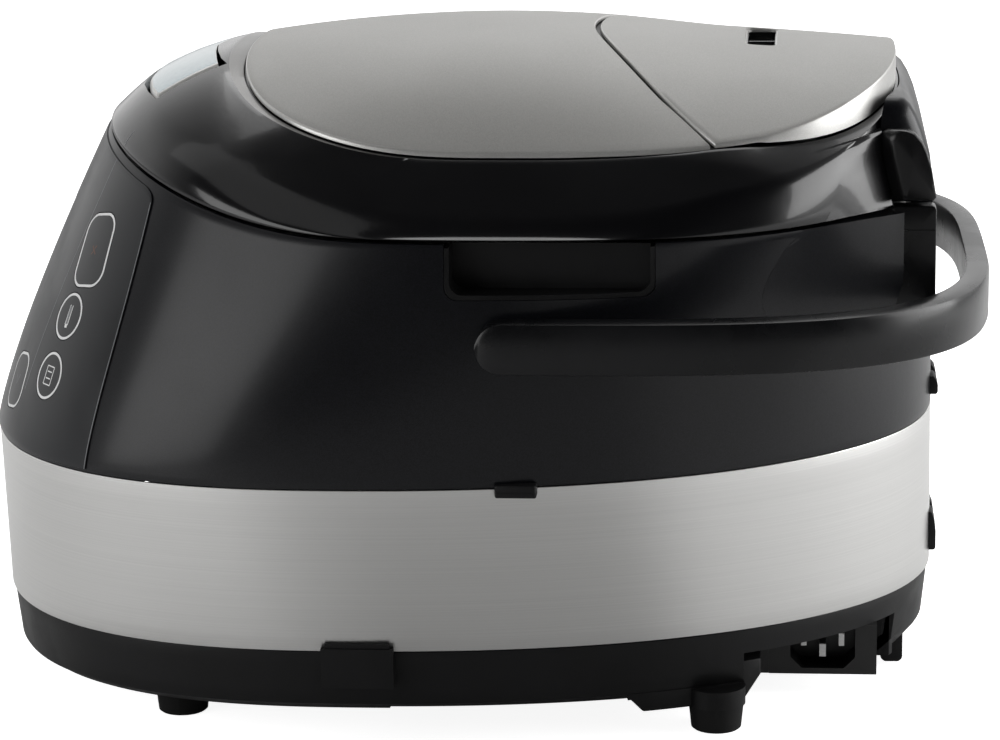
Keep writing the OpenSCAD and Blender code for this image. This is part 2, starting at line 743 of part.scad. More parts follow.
// Ring of a plate's skirt, which stops above the stepped rim
function skirt_ring(plan, c, s, t) =
  [for (q = crowned(plan, c, s, 0)) [q[0], q[1], q[2] - max(t, step_at(q[1]) - 0.9)]];

// Plate that follows the lid's top surface, from dz - t to dz, with a skirt if asked
module crowned_plate(plan, c, t, dz, skirt = false) {
  steps = [0.25, 0.5, 0.7, 0.86, 0.955];
  low = [for (s = steps) crowned(plan, c, s, dz - t)];
  edge = skirt
    ? [skirt_ring(plan, c, 0.97, t), skirt_ring(plan, c, 1, t)]
    : [crowned(plan, c, 1, dz - t)];
  top = [for (i = [4 : -1 : 0]) crowned(plan, c, steps[i], dz)];
  skin_to(concat(low, edge, [crowned(plan, c, 1, dz - 0.5)], [crowned(plan, c, 0.985, dz)], top),
    [c[0], c[1], crown_at(c[0], c[1]) + dz - t], [c[0], c[1], crown_at(c[0], c[1]) + dz]);
}

module lid_insert() {
  color(steel) crowned_plate(insert_plan(), [0, -8], 1.6, 0);
}

vent = [[-24, 97.5], [24, 109.5]];

module steam_cover() {
  color(steel) difference() {
    crowned_plate(cover_plan(), [0, 108], 1.6, 0, true);
    translate([0, mix(vent[0][1], vent[1][1], 0.5), 220]) linear_extrude(30)
      square([vent[1][0] - vent[0][0], vent[1][1] - vent[0][1]], center = true);
  }
}

module valve_tray() {
  plan = [for (q = cover_plan()) [q[0] * 0.93, 108 + (q[1] - 108) * 0.93]];
  color(black) difference() {
    crowned_plate(plan, [0, 108], 2, -9);
    translate([0, 100, 200]) cylinder(h = 50, r = 14);
  }
}

module steam_valve() {
  color("#3a3a3c") difference() {
    translate([0, 100, 0]) rotate_extrude() polygon([
      [8, 196.5], [13.8, 196.5], [13.8, 231.7], [22, 231.9], [22, 234], [8, 234]]);
    for (a = [0 : 60 : 300]) translate([0, 100, 232]) rotate([0, 0, a]) translate([17, 0, 0])
      cylinder(h = 4, r = 1.8);
  }
}

liner_z = 193;

module lid_liner() {
  outer = egg(seam_egg, -9.5);
  inner = circle_pts(pot_r - 2, well_y);
  rim_top = [for (q = outer) [q[0], q[1], seam_at(q[1]) + 1.6]];
  rim_low = [for (q = outer) [q[0], q[1], seam_at(q[1]) + 0.2]];
  color("#2a2a2c") difference() {
    skin_to([at_z(inner, rim_z + 7.3), rim_low, rim_top, at_z(circle_pts(pot_r, well_y), rim_z + 10.5)],
      [0, well_y, liner_z - 1], [0, well_y, liner_z + 4]);
    translate([0, 100, 150]) cylinder(h = 60, r = 14);
    block([-12, -150, 150], [12, -112, 230]);
  }
}

module inner_lid_plate() {
  color("#c9cacc") translate([0, well_y, 0]) difference() {
    union() {
      translate([0, 0, rim_z + 2.6]) cylinder(h = 1.2, r = pot_r - 4, $fn = 96);
      translate([0, 0, rim_z + 3.8]) cylinder(h = 3.6, r = 8);
    }
    for (a = [60 : 60 : 300]) rotate([0, 0, a]) translate([0, 80, 180]) cylinder(h = 10, r = 4);
    translate([0, 86, 180]) cylinder(h = 12, r = 10);
  }
}

module lid_gasket() {
  color("#d7d7d2") translate([0, well_y, 0]) rotate_extrude($fn = 96) polygon([
    [pot_r - 3.9, rim_z + 2.5], [pot_r - 1, rim_z + 2], [pot_r + 3, rim_z + 0.3], [pot_r + 5, rim_z + 0.3],
    [pot_r + 5, rim_z + 1.5], [pot_r + 3, rim_z + 4.2], [pot_r - 2.2, rim_z + 6.8], [pot_r - 3.9, rim_z + 6.8]]);
}

latch_pivot = [-126, 209.5];     // y and z of the hook's pin

// Moves to the middle of the latch button, with Z along its outward normal
module latch_frame() {
  translate([0, button_mid[0], button_mid[1]]) rotate([button_tilt, 0, 0]) children();
}

module latch_tray() {
  color(black) difference() {
    union() {
      latch_frame() block([-48, -12, -14], [48, 9, -11]);
      both_sides() block([9, -129, 206.8], [11.8, -123, 213]);
    }
    block([-9, -150, 190], [9, -112, 240]);
    rod_x(-13, 13, 1.5, latch_pivot[0], latch_pivot[1]);
  }
  color(steel) rod_x(-11.8, 11.8, 1.5, latch_pivot[0], latch_pivot[1]);
}

module latch_button() {
  plan = [for (p = angles(n_ring)) let (r = se_r(60, 26, 8, p)) [r * cos(p), button_mid[0] + r * sin(p)]];
  color("#b8c2c8") intersection() {
    button_prism(0);
    crowned_plate(plan, [0, button_mid[0]], 4, 0);
  }
}

module latch_hook() {
  color("#1c1c1e") difference() {
    translate([-7, 0, 0]) rotate([90, 0, 90]) linear_extrude(14)
      polygon([[-128.4, 212], [-128.4, 196], [-127, 190], [-123.2, 190], [-123.2, 193], [-124.6, 195.6],
        [-124.6, 207.2], [-115.5, 209.6], [-115.5, 212]]);
    rod_x(-8, 8, 1.56, latch_pivot[0], latch_pivot[1]);
  }
}

module latch_spring() {
  color(steel) latch_frame() both_sides() translate([30, 0, -10.9]) difference() {
    cylinder(h = 6.2, r = 3);
    translate([0, 0, -1]) cylinder(h = 8, r = 2.2);
  }
}

base_tub();
rubber_feet();
foot_screws();
base_lugs();
steel_band();
band_clips();
upper_housing();
rear_bumpers();
front_panel();
display_window();
control_board();
key_switches();
one_key(0);  // start_key
one_key(1);  // right_key_upper
one_key(2);  // right_key_lower
one_key(4);  // left_key_top
one_key(5);  // left_key_upper
one_key(6);  // left_key_lower
one_key(3);  // centre_key_right
one_key(7);  // centre_key_left
grip_cup();  // grip_cup_right
mirror([1, 0, 0]) grip_cup();  // grip_cup_left
top_deck();
latch_striker();
heat_shield();
heating_plate();
sensor_plunger();
sensor_spring();
inner_pot();
power_board();
inlet_socket();
inlet_pins();
hinge_towers();
hinge_pins();
hinge_springs();
bail_pivots();
bail_handle();
lid_shell();
lid_insert();
lid_rear_cover();
lid_hinge_arms();
lid_liner();
inner_lid_plate();
lid_gasket();
valve_tray();
steam_cover();
steam_valve();
latch_tray();
latch_button();
latch_hook();
latch_spring();
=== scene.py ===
import bpy
import json
import math
from mathutils import Matrix, Vector


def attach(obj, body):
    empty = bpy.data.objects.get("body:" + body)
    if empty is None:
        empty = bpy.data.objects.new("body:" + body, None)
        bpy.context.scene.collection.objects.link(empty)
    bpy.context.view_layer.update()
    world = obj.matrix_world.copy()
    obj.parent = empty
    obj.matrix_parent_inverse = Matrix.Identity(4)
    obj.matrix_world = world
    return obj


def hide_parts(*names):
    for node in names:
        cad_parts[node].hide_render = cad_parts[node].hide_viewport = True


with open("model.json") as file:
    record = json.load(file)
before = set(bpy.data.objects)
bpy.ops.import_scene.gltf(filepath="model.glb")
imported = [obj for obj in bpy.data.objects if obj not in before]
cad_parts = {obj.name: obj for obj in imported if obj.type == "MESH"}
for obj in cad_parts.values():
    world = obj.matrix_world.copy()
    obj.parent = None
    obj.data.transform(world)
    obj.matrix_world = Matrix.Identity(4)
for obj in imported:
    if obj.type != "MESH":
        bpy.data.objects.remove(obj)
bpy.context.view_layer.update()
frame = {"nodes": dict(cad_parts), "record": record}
mm = 0.001
print("frame loaded:", len(frame["nodes"]), "nodes")

cameraSet = {
    "azimuth": 95.08, "elevation": 13.04, "roll": -0.81,   # degrees
    "distance": 1.3227, "target": (0, 0.0027, 0.1085), "lens": 122.63, "sensor": 36, "reach": 20,
}
floorSet = {
    "half": 6.0, "wedgeShade": 0.55, "pale": 0.95, "roughness": 0.8,
    "middle": 0.2, "from": 0.3, "to": 0.8, "least": 0.05,   # painted shade: duller floor colour in a wedge beside the part, by y / x, for the part to reflect
    "inner": 0.1, "outer": 0.3, "shade": 0.9,    # painted shadow: its own white fades a little under the part
}
roomSet = {
    "near": 0.05, "far": 1.0, "sides": (-0.35, 0.3),    # strength of the walls, by the direction's x
    "zenith": 0.13, "heights": (0.45, 0.95), "backdrop": 1.0,
}
lightSet = [
    # name, place, aim, width, height, watts
    ("frontBox", (1.28, -1.54, 0.64), (0, 0, 0.12), 1.4, 1.0, 13.5),
    ("frontTop", (0.35, -1.0, 1.75), (0, 0, 0.12), 1.6, 1.2, 3),
    ("rearBox", (-0.1, 1.9, 0.66), (0, 0, 0.12), 1.6, 1.1, 30),
    ("overBox", (-1.1, 0, 1.7), (0, 0, 0.1), 1.4, 1.4, 11),
]
white = (1, 1, 1, 1)


def setInputs(tree, node, values):
    # each input gets its value, or a link where the value is another node's socket
    for label, value in values.items():
        if isinstance(value, bpy.types.NodeSocket):
            tree.links.new(value, node.inputs[label])
        else:
            node.inputs[label].default_value = value


def addNode(tree, kind, inputs=None, **values):
    node = tree.nodes.new(kind)
    for key, value in values.items():
        setattr(node, key, value)
    setInputs(tree, node, inputs or {})
    return node


def mathNode(tree, operation, *inputs):
    return addNode(tree, "ShaderNodeMath", dict(enumerate(inputs)), operation=operation).outputs[0]


def mapRange(tree, source, low, high, start=0.0, end=1.0, kind="LINEAR"):
    values = {"Value": source, "From Min": low, "From Max": high, "To Min": start, "To Max": end}
    return addNode(tree, "ShaderNodeMapRange", values, interpolation_type=kind).outputs[0]


def placeParts(tree, space):
    place = addNode(tree, "ShaderNodeTexCoord").outputs[space]
    return place, addNode(tree, "ShaderNodeSeparateXYZ", {0: place}).outputs


def addCamera(s):
    turn = (Matrix.Rotation(math.radians(s["azimuth"]), 4, "Z")
            @ Matrix.Rotation(math.radians(90 - s["elevation"]), 4, "X")
            @ Matrix.Rotation(math.radians(s["roll"]), 4, "Z"))
    bpy.ops.object.camera_add()
    camera = bpy.context.object
    camera.name = "productCamera"
    back = turn.to_3x3() @ Vector((0, 0, 1))
    camera.matrix_world = Matrix.Translation(Vector(s["target"]) + back * s["distance"]) @ turn
    camera.data.lens = s["lens"]
    camera.data.sensor_width = s["sensor"]
    camera.data.clip_end = s["reach"]
    bpy.context.scene.camera = camera


def addFloor(s):
    bpy.ops.mesh.primitive_plane_add(size=2 * s["half"])
    floor = bpy.context.object
    floor.name = "paleFloor"
    sheet = bpy.data.materials.new("paleSheet")
    sheet.use_nodes = True
    tree = sheet.node_tree
    place, parts = placeParts(tree, "Object")
    # painted shade: the floor's colour is duller in a wedge beside the part, seen in the part's reflections
    slope = mathNode(tree, "DIVIDE", parts["Y"], mathNode(tree, "MAXIMUM", parts["X"], s["least"]))
    away = mathNode(tree, "ABSOLUTE", mathNode(tree, "SUBTRACT", slope, s["middle"]))
    reflectedShadeTone = mapRange(tree, away, s["from"], s["to"], s["wedgeShade"], s["pale"], "SMOOTHSTEP")
    # painted shadow: the floor's own white is dimmed a little near the part
    reach = addNode(tree, "ShaderNodeVectorMath", {0: place}, operation="LENGTH").outputs["Value"]
    paintedShadow = mapRange(tree, reach, s["inner"], s["outer"], s["shade"], 1, "SMOOTHSTEP")
    seen = addNode(tree, "ShaderNodeLightPath").outputs["Is Camera Ray"]
    setInputs(tree, tree.nodes["Principled BSDF"], {
        "Roughness": s["roughness"], "Specular IOR Level": 0, "Emission Color": white,
        "Base Color": addNode(tree, "ShaderNodeCombineColor", {0: reflectedShadeTone, 1: reflectedShadeTone, 2: reflectedShadeTone}).outputs[0],
        "Emission Strength": mathNode(tree, "MULTIPLY", paintedShadow, seen),
    })
    floor.data.materials.append(sheet)


def addRoom(s):
    # white backdrop; the walls that reflect in the part are bright on its far side and dim on the near one
    world = bpy.data.worlds.new("paleRoom")
    world.use_nodes = True
    tree = world.node_tree
    parts = placeParts(tree, "Generated")[1]
    side = mapRange(tree, parts["X"], *s["sides"], s["far"], s["near"], "SMOOTHSTEP")
    height = mapRange(tree, parts["Z"], *s["heights"], 1, s["zenith"])
    seen = addNode(tree, "ShaderNodeLightPath").outputs["Is Camera Ray"]
    room = mathNode(tree, "MULTIPLY", side, height)
    pick = addNode(tree, "ShaderNodeMix", {0: seen, 2: room, 3: s["backdrop"]})
    setInputs(tree, tree.nodes["Background"], {"Strength": pick.outputs[0], "Color": white})
    bpy.context.scene.world = world


def addLight(name, place, aim, width, height, watts):
    bpy.ops.object.light_add(type="AREA", location=place)
    lamp = bpy.context.object
    lamp.name = name
    lamp.data.shape = "RECTANGLE"
    lamp.data.size = width
    lamp.data.size_y = height
    lamp.data.energy = watts
    lamp.rotation_euler = (Vector(aim) - Vector(place)).to_track_quat("-Z", "Y").to_euler()


addCamera(cameraSet)
addFloor(floorSet)
addRoom(roomSet)
for light in lightSet:
    addLight(*light)
bpy.context.scene.view_settings.view_transform = "Standard"
print("camera and light set")


def newGroup(name, inputs, outputs):
    group = bpy.data.node_groups.new(name, "ShaderNodeTree")
    for label, value in inputs.items():
        socket = group.interface.new_socket(label, in_out="INPUT", socket_type="NodeSocketFloat")
        socket.default_value = value
    for label in outputs:
        group.interface.new_socket(label, in_out="OUTPUT", socket_type="NodeSocketFloat")
    return group, group.nodes.new("NodeGroupInput").outputs, group.nodes.new("NodeGroupOutput")


def scaledPlace(tree, x, y, z):
    # object coordinates, each axis multiplied by its own socket
    parts = placeParts(tree, "Object")[1]
    scaled = {axis: mathNode(tree, "MULTIPLY", parts[axis], by) for axis, by in zip("XYZ", (x, y, z))}
    return addNode(tree, "ShaderNodeCombineXYZ", scaled).outputs[0]


def noiseAt(tree, place, detail, roughness=0.5):
    values = {"Vector": place, "Scale": 1, "Detail": detail, "Roughness": roughness}
    return addNode(tree, "ShaderNodeTexNoise", values).outputs["Fac"]


def buildGrain():
    # fine moulded or lacquered grain: a height, and a slow mask for wear and smudges
    sizes = {"Scale": 900, "Patches": 14, "Low": 0.4, "High": 0.6}
    group, start, end = newGroup("fineGrain", sizes, ["Height", "Patch"])
    fast = noiseAt(group, scaledPlace(group, *[start["Scale"]] * 3), 2)
    slow = noiseAt(group, scaledPlace(group, *[start["Patches"]] * 3), 4, 0.62)
    setInputs(group, end, {"Height": fast, "Patch": mapRange(group, slow, start["Low"], start["High"])})
    return group


def buildBrush():
    # long fine scratches along one way and slow bands across it
    sizes = {"Along X": 4, "Along Y": 4, "Across Z": 1500}
    group, start, end = newGroup("brushLines", sizes, ["Height", "Tone"])
    place = scaledPlace(group, start["Along X"], start["Along Y"], start["Across Z"])
    lines = noiseAt(group, place, 5, 0.7)
    setInputs(group, end, {"Height": lines, "Tone": mapRange(group, lines, 0.3, 0.7)})
    return group


def buildFlake():
    # metal flakes in a lacquer: each tiny cell has its own brightness
    group, start, end = newGroup("lacquerFlake", {"Scale": 3500}, ["Flake"])
    place = scaledPlace(group, *[start["Scale"]] * 3)
    cells = addNode(group, "ShaderNodeTexVoronoi", {"Vector": place, "Scale": 1}).outputs["Color"]
    setInputs(group, end, {"Flake": addNode(group, "ShaderNodeSeparateColor", {0: cells}).outputs[0]})
    return group


grainGroup = buildGrain()
brushGroup = buildBrush()
flakeGroup = buildFlake()


def useGroup(tree, group, **values):
    inputs = {label.replace("_", " "): value for label, value in values.items()}
    return addNode(tree, "ShaderNodeGroup", inputs, node_tree=group).outputs


def startFinish(name):
    made = bpy.data.materials.new(name)
    made.use_nodes = True
    return made, made.node_tree


def fillFinish(tree, tones, mask, rough, wear, height, depth, metallic=0, coat=0, coatRoughness=0.05,
               specular=0.5):
    # mask mixes the two tones, wear spreads the roughness, height is raised by depth, in metres
    dark, light = tones
    mixed = addNode(tree, "ShaderNodeMix", {0: mask, 6: (*dark, 1), 7: (*light, 1)}, data_type="RGBA")
    bump = addNode(tree, "ShaderNodeBump", {"Strength": 1, "Distance": depth, "Height": height})
    setInputs(tree, tree.nodes["Principled BSDF"], {
        "Base Color": mixed.outputs[2], "Roughness": mapRange(tree, wear, 0, 1, *rough),
        "Normal": bump.outputs["Normal"], "Metallic": metallic, "Coat Weight": coat,
        "Coat Roughness": coatRoughness, "Specular IOR Level": specular,
    })


def mouldedPlastic(name, dark, light, rough, grain=1400, depth=0.00003, patches=25, coat=0, specular=0.5):
    made, tree = startFinish(name)
    grains = useGroup(tree, grainGroup, Scale=grain, Patches=patches)
    patch = grains["Patch"]
    fillFinish(tree, (dark, light), patch, rough, patch, grains["Height"], depth, coat=coat, specular=specular)
    return made


def lacquer(name, dark, light, rough, flake=3200, coat=0.6, coatRoughness=0.06, metallic=0.0, peel=0.00002,
            specular=0.5):
    # flakes under a clear coat with a slight orange peel
    made, tree = startFinish(name)
    flakes = useGroup(tree, flakeGroup, Scale=flake)
    grains = useGroup(tree, grainGroup, Scale=420, Patches=9)
    fillFinish(tree, (dark, light), flakes["Flake"], rough, grains["Patch"], grains["Height"], peel,
               metallic, coat, coatRoughness, specular)
    return made


def brushedMetal(name, dark, light, rough, along=(5, 5), across=1400, depth=0.000012):
    made, tree = startFinish(name)
    brush = useGroup(tree, brushGroup, Along_X=along[0], Along_Y=along[1], Across_Z=across)
    fillFinish(tree, (dark, light), brush["Tone"], rough, brush["Tone"], brush["Height"], depth, 1)
    return made


inkLook = ((0.4, 0.5), 2500, 0.000004)
filmLook = ((0.009, 0.0098, 0.0115), (0.0115, 0.0125, 0.0145), (0.3, 0.38), 2500, 0.000006)
materials = {
    "base_plastic": mouldedPlastic("baseBlack", (0.003, 0.003, 0.0032), (0.0055, 0.0055, 0.006),
                                   (0.42, 0.55), specular=0.25),
    "rubber": mouldedPlastic("footRubber", (0.003, 0.003, 0.003), (0.006, 0.006, 0.0058), (0.6, 0.75), 900,
                             specular=0.25),
    "steel_parts": brushedMetal("brightSteel", (0.45, 0.45, 0.45), (0.62, 0.62, 0.61), (0.25, 0.4)),
    "brushed_band": brushedMetal("bandSteel", (0.66, 0.657, 0.645), (0.73, 0.726, 0.713), (0.3, 0.36),
                                 (5, 5), 2600, 0.000004),
    "housing": lacquer("charcoalLacquer", (0.0022, 0.0024, 0.0032), (0.0078, 0.0082, 0.0105), (0.28, 0.36),
                       coat=0.15, coatRoughness=0.16, specular=0.24),
    "panel": mouldedPlastic("panelFilm", *filmLook, specular=0.35),
    "display": mouldedPlastic("displayGlass", (0.003, 0.003, 0.004), (0.005, 0.005, 0.006), (0.05, 0.09), 300,
                              0.000002, 12, 1.0),
    "board": mouldedPlastic("circuitGreen", (0.012, 0.07, 0.025), (0.02, 0.11, 0.04), (0.35, 0.5)),
    "keys": mouldedPlastic("keyFilm", *filmLook, specular=0.35),
    "deck": mouldedPlastic("deckGrey", (0.003, 0.003, 0.0034), (0.0055, 0.0055, 0.006), (0.38, 0.5),
                           specular=0.25),
    "bare_aluminium": brushedMetal("satinAluminium", (0.6, 0.6, 0.61), (0.72, 0.72, 0.73), (0.3, 0.45)),
    "pot_coating": mouldedPlastic("nonStick", (0.012, 0.012, 0.013), (0.04, 0.039, 0.038), (0.35, 0.5), 2600,
                                  0.00003, 900),
    "inlet_plastic": mouldedPlastic("inletBlack", (0.003, 0.003, 0.003), (0.006, 0.006, 0.006), (0.3, 0.42)),
    "hinge_plastic": mouldedPlastic("hingeBlack", (0.0035, 0.0035, 0.004), (0.007, 0.007, 0.0075),
                                    (0.2, 0.28), 900, 0.000008, specular=0.35),
    "handle": mouldedPlastic("handleGrey", (0.0022, 0.0024, 0.003), (0.0048, 0.005, 0.006), (0.24, 0.33),
                             1100, 0.000012, specular=0.35),
    "lid_gloss": lacquer("lidBlack", (0.0022, 0.0022, 0.0028), (0.0045, 0.0045, 0.0052), (0.16, 0.24),
                         coat=0.3, coatRoughness=0.06, specular=0.35),
    "silver": lacquer("silverLacquer", (0.35, 0.346, 0.334), (0.44, 0.435, 0.42), (0.56, 0.62), 5200, 0.08, 0.3,
                      0.35, 0.000008),
    "silicone": mouldedPlastic("milkySilicone", (0.55, 0.55, 0.52), (0.62, 0.62, 0.59), (0.4, 0.5), 600),
    "latch_silver": lacquer("blueSilver", (0.34, 0.40, 0.42), (0.48, 0.55, 0.575), (0.2, 0.26), 2600, 0.4, 0.1,
                            0.7),
}
# a lighter copy of the silver lacquer: a painted highlight on edges, chamfers, skirts and the vent's rim
paintedEdgeHighlight = lacquer("paintedEdgeHighlight", (0.5, 0.495, 0.48), (0.6, 0.595, 0.58), (0.34, 0.4), 5200, 0.2, 0.25, 0.6,
                   0.000006)
bezelGrey = lacquer("bezelGrey", (0.085, 0.082, 0.078), (0.12, 0.116, 0.11), (0.3, 0.38), 5200, 0.3, 0.15, 0.5,
                    0.000006)
# grey for printed lines, also used as the painted highlight line along the film's edge
inkAndEdgeHighlight = mouldedPlastic("inkAndEdgeHighlight", (0.16, 0.165, 0.175), (0.19, 0.195, 0.205), *inkLook)
orangeInk = mouldedPlastic("orangeInk", (0.09, 0.03, 0.012), (0.11, 0.036, 0.014), *inkLook)
whiteInk = mouldedPlastic("whiteInk", (0.72, 0.72, 0.72), (0.8, 0.8, 0.8), *inkLook)

for entry in frame["record"]["subparts"]:
    node = frame["nodes"][entry["node"]]
    node.data.materials.clear()
    node.data.materials.append(materials[entry["material_slot"]])
print("materials made:", len(bpy.data.materials))

# outlines and heights, in millimetres
bodyTop = {"half": 147.7, "front": 141, "rear": 215.5, "middle": -46.8, "powers": (2.42, 2.13)}
bodyLow = {"half": 136.2, "front": 140, "rear": 216, "middle": -46.8, "powers": (2.42, 2.13)}
baseMid = {"half": 133.2, "front": 137, "rear": 213, "middle": -46.8, "powers": (2.42, 2.13)}
baseLow = {"half": 119.2, "front": 132, "rear": 207.5, "middle": -46.8, "powers": (2.42, 2.2)}
seamEgg = {"half": 138, "front": 155, "rear": 141, "middle": 14, "powers": (2.5, 2.6)}
openEgg = {"half": 108.5, "front": 107, "rear": 134.5, "middle": 19, "powers": (3.45, 2.85)}
heights = {"bandLow": 37, "bandTop": 99.5, "seam": 186, "ridge": 241.6, "gap": 1.4}
seamSet = {"rise": 28, "from": -26, "run": 115, "power": 2.2}        # it climbs towards the front
ridgeSet = {"front": -26, "frontFall": 22.6, "frontRun": 113, "rear": 44, "rearFall": 6.6, "rearRun": 109}
crownSet = {"middle": 3, "reach": 90, "rise": 3, "side": 108.5, "drop": 31, "edge": 137, "step": 11,
            "stepFrom": 84, "stepRun": 66}
flareSet = {"power": 1.5, "front": 0.28, "rear": 0.9}
hands = ((1, "Right"), (-1, "Left"))


def mix(a, b, share):
    return a + (b - a) * share


def superRadius(a, b, power, angle):
    c, s = abs(math.cos(angle)), abs(math.sin(angle))
    return ((c / a) ** power + (s / b) ** power) ** (-1 / power)


def eggPoint(egg, grow, angle):
    rear = math.sin(angle) >= 0
    reach = egg["rear"] if rear else egg["front"]
    r = superRadius(egg["half"] + grow, reach + grow, egg["powers"][1 if rear else 0], angle)
    return Vector((r * math.cos(angle), egg["middle"] + r * math.sin(angle)))


def turnsOf(count):
    return [2 * math.pi * i / count for i in range(count)]


def ringAt(egg, grow, z, count):
    return [Vector((*eggPoint(egg, grow, a), z)) for a in turnsOf(count)]


def seamAt(y):
    s = seamSet
    return heights["seam"] + s["rise"] * (max(0, s["from"] - y) / s["run"]) ** s["power"]


def ridgeAt(y):
    s = ridgeSet
    front = s["frontFall"] * (max(0, s["front"] - y) / s["frontRun"]) ** 3.5
    return heights["ridge"] - front - s["rearFall"] * (max(0, y - s["rear"]) / s["rearRun"]) ** 1.5


def crownAt(x, y):
    # a dome as far as the opening's half width and a straight slope outside it
    c = crownSet
    dome = max(0, 1 - ((y - c["middle"]) / c["reach"]) ** 2) ** 2
    s = abs(x) / c["side"]
    if s < 1:
        return ridgeAt(y) + c["rise"] * dome * (1 - s * s) - c["drop"] * s ** (2.5 + 1.2 * dome)
    fall = heights["ridge"] - heights["seam"] - c["drop"]
    return ridgeAt(y) - c["drop"] - fall * (abs(x) - c["side"]) / (c["edge"] - c["side"])


def eased(t):
    t = min(1, max(0, t))
    return t * t * (3 - 2 * t)


def stepAt(y):
    # the lid's rim steps down under the steam cover
    return crownSet["step"] * eased((y - crownSet["stepFrom"]) / crownSet["stepRun"])


def housingPoint(angle, share, grow=0):
    low = eggPoint(bodyTop, grow, angle)
    high = eggPoint(seamEgg, grow, angle)
    s = math.sin(angle)
    power = flareSet["power"] + flareSet["front" if s < 0 else "rear"] * s
    p = low.lerp(high, share ** power)
    return Vector((p.x, p.y, mix(heights["bandTop"], seamAt(high.y) - heights["gap"], share)))


def housingNormal(angle, share):
    step = math.radians(1)
    around = housingPoint(angle + step, share) - housingPoint(angle - step, share)
    up = housingPoint(angle, share + 0.02) - housingPoint(angle, max(0, share - 0.02))
    return around.cross(up).normalized()


def clearSelection():
    if bpy.context.object and bpy.context.object.mode != "OBJECT":
        bpy.ops.object.mode_set(mode="OBJECT")
    bpy.ops.object.select_all(action="DESELECT")


def setActive(piece):
    clearSelection()
    piece.select_set(True)
    bpy.context.view_layer.objects.active = piece


def tidyMesh(piece, merge=0.000002):
    setActive(piece)
    bpy.ops.object.mode_set(mode="EDIT")
    bpy.ops.mesh.select_all(action="SELECT")
    bpy.ops.mesh.remove_doubles(threshold=merge)
    bpy.ops.mesh.dissolve_degenerate(threshold=0.0000005)
    bpy.ops.mesh.normals_make_consistent(inside=False)
    bpy.ops.object.mode_set(mode="OBJECT")


def placedGrid(name, columns, rows, place, finishAt=None):
    # a grid primitive whose points are put where place(across, up) says, in millimetres
    clearSelection()
    bpy.ops.mesh.primitive_grid_add(x_subdivisions=columns, y_subdivisions=rows, size=1)
    piece = bpy.context.object
    piece.name = name
    if finishAt:
        for face in piece.data.polygons:
            at = face.center
            face.material_index = finishAt(int((at.x + 0.5) * columns), int((at.y + 0.5) * rows))
    for v in piece.data.vertices:
        i = round((v.co.x + 0.5) * columns)
        j = round((v.co.y + 0.5) * rows)
        v.co = Vector(place(i, j)) * mm
    tidyMesh(piece)
    return piece


def wrapRings(name, rings, finishAt=None):
    # closed rings stacked into one skin; a ring shrunk to a point closes an end
    count = len(rings[0])
    return placedGrid(name, count, len(rings) - 1, lambda i, j: rings[j][i % count], finishAt)


def cappedRings(name, rings, finishAt=None):
    # the same with both ends closed at their middles
    ends = [[sum(r, Vector()) / len(r)] * len(r) for r in (rings[0], rings[-1])]
    return wrapRings(name, [ends[0]] + rings + [ends[1]], finishAt)


def applyModifier(piece, kind, **values):
    setActive(piece)
    modifier = piece.modifiers.new(kind.lower(), kind)
    for key, value in values.items():
        setattr(modifier, key, value)
    bpy.ops.object.modifier_apply(modifier=modifier.name)


def bevelEdges(piece, width, segments=2, angle=35):
    applyModifier(piece, "BEVEL", width=width * mm, segments=segments, limit_method="ANGLE",
                  angle_limit=math.radians(angle), use_clamp_overlap=True)


def smoothShade(piece, angle=32):
    setActive(piece)
    bpy.ops.object.shade_smooth_by_angle(angle=math.radians(angle))


def cutAway(piece, cutters, operation="DIFFERENCE"):
    # takes the cutters' shapes out of the piece, and the cutters away
    for cutter in cutters:
        applyModifier(piece, "BOOLEAN", object=cutter, operation=operation, solver="EXACT")
        bpy.data.objects.remove(cutter)


def roundedBox(name, low, high, bevel=0.0, segments=3):
    clearSelection()
    low, high = Vector(low), Vector(high)
    bpy.ops.mesh.primitive_cube_add(size=1)
    piece = bpy.context.object
    piece.name = name
    for v in piece.data.vertices:
        v.co = Vector(mix(low[k], high[k], v.co[k] + 0.5) for k in range(3)) * mm
    if bevel:
        bevelEdges(piece, bevel, segments)
    return piece


def extruded(name, profile, x0, x1, bevel=0.0, segments=3):
    # a profile of (y, z) points between two places along X
    piece = cappedRings(name, [[Vector((x, y, z)) for y, z in profile] for x in (x0, x1)])
    if bevel:
        bevelEdges(piece, bevel, segments, 25)
    return piece


def mirrored(piece):
    piece.data.transform(Matrix.Scale(-1, 4, (1, 0, 0)))
    tidyMesh(piece)
    return piece


def cylinderAlong(name, start, end, radius, sides=64):
    clearSelection()
    start, end = Vector(start), Vector(end)
    bpy.ops.mesh.primitive_cylinder_add(vertices=sides, radius=radius * mm, depth=(end - start).length * mm)
    piece = bpy.context.object
    piece.name = name
    turn = (end - start).to_track_quat("Z", "Y").to_matrix().to_4x4()
    piece.data.transform(Matrix.Translation((start + end) / 2 * mm) @ turn)
    return piece


def paint(piece, *finishes):
    for finish in finishes:
        piece.data.materials.append(finish)


def finishPiece(piece, body, slot, replaced=(), material=None, shade=32):
    smoothShade(piece, shade)
    if not piece.data.materials:
        paint(piece, material or materials[slot])
    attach(piece, body)
    if replaced:
        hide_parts(*replaced)
    return piece


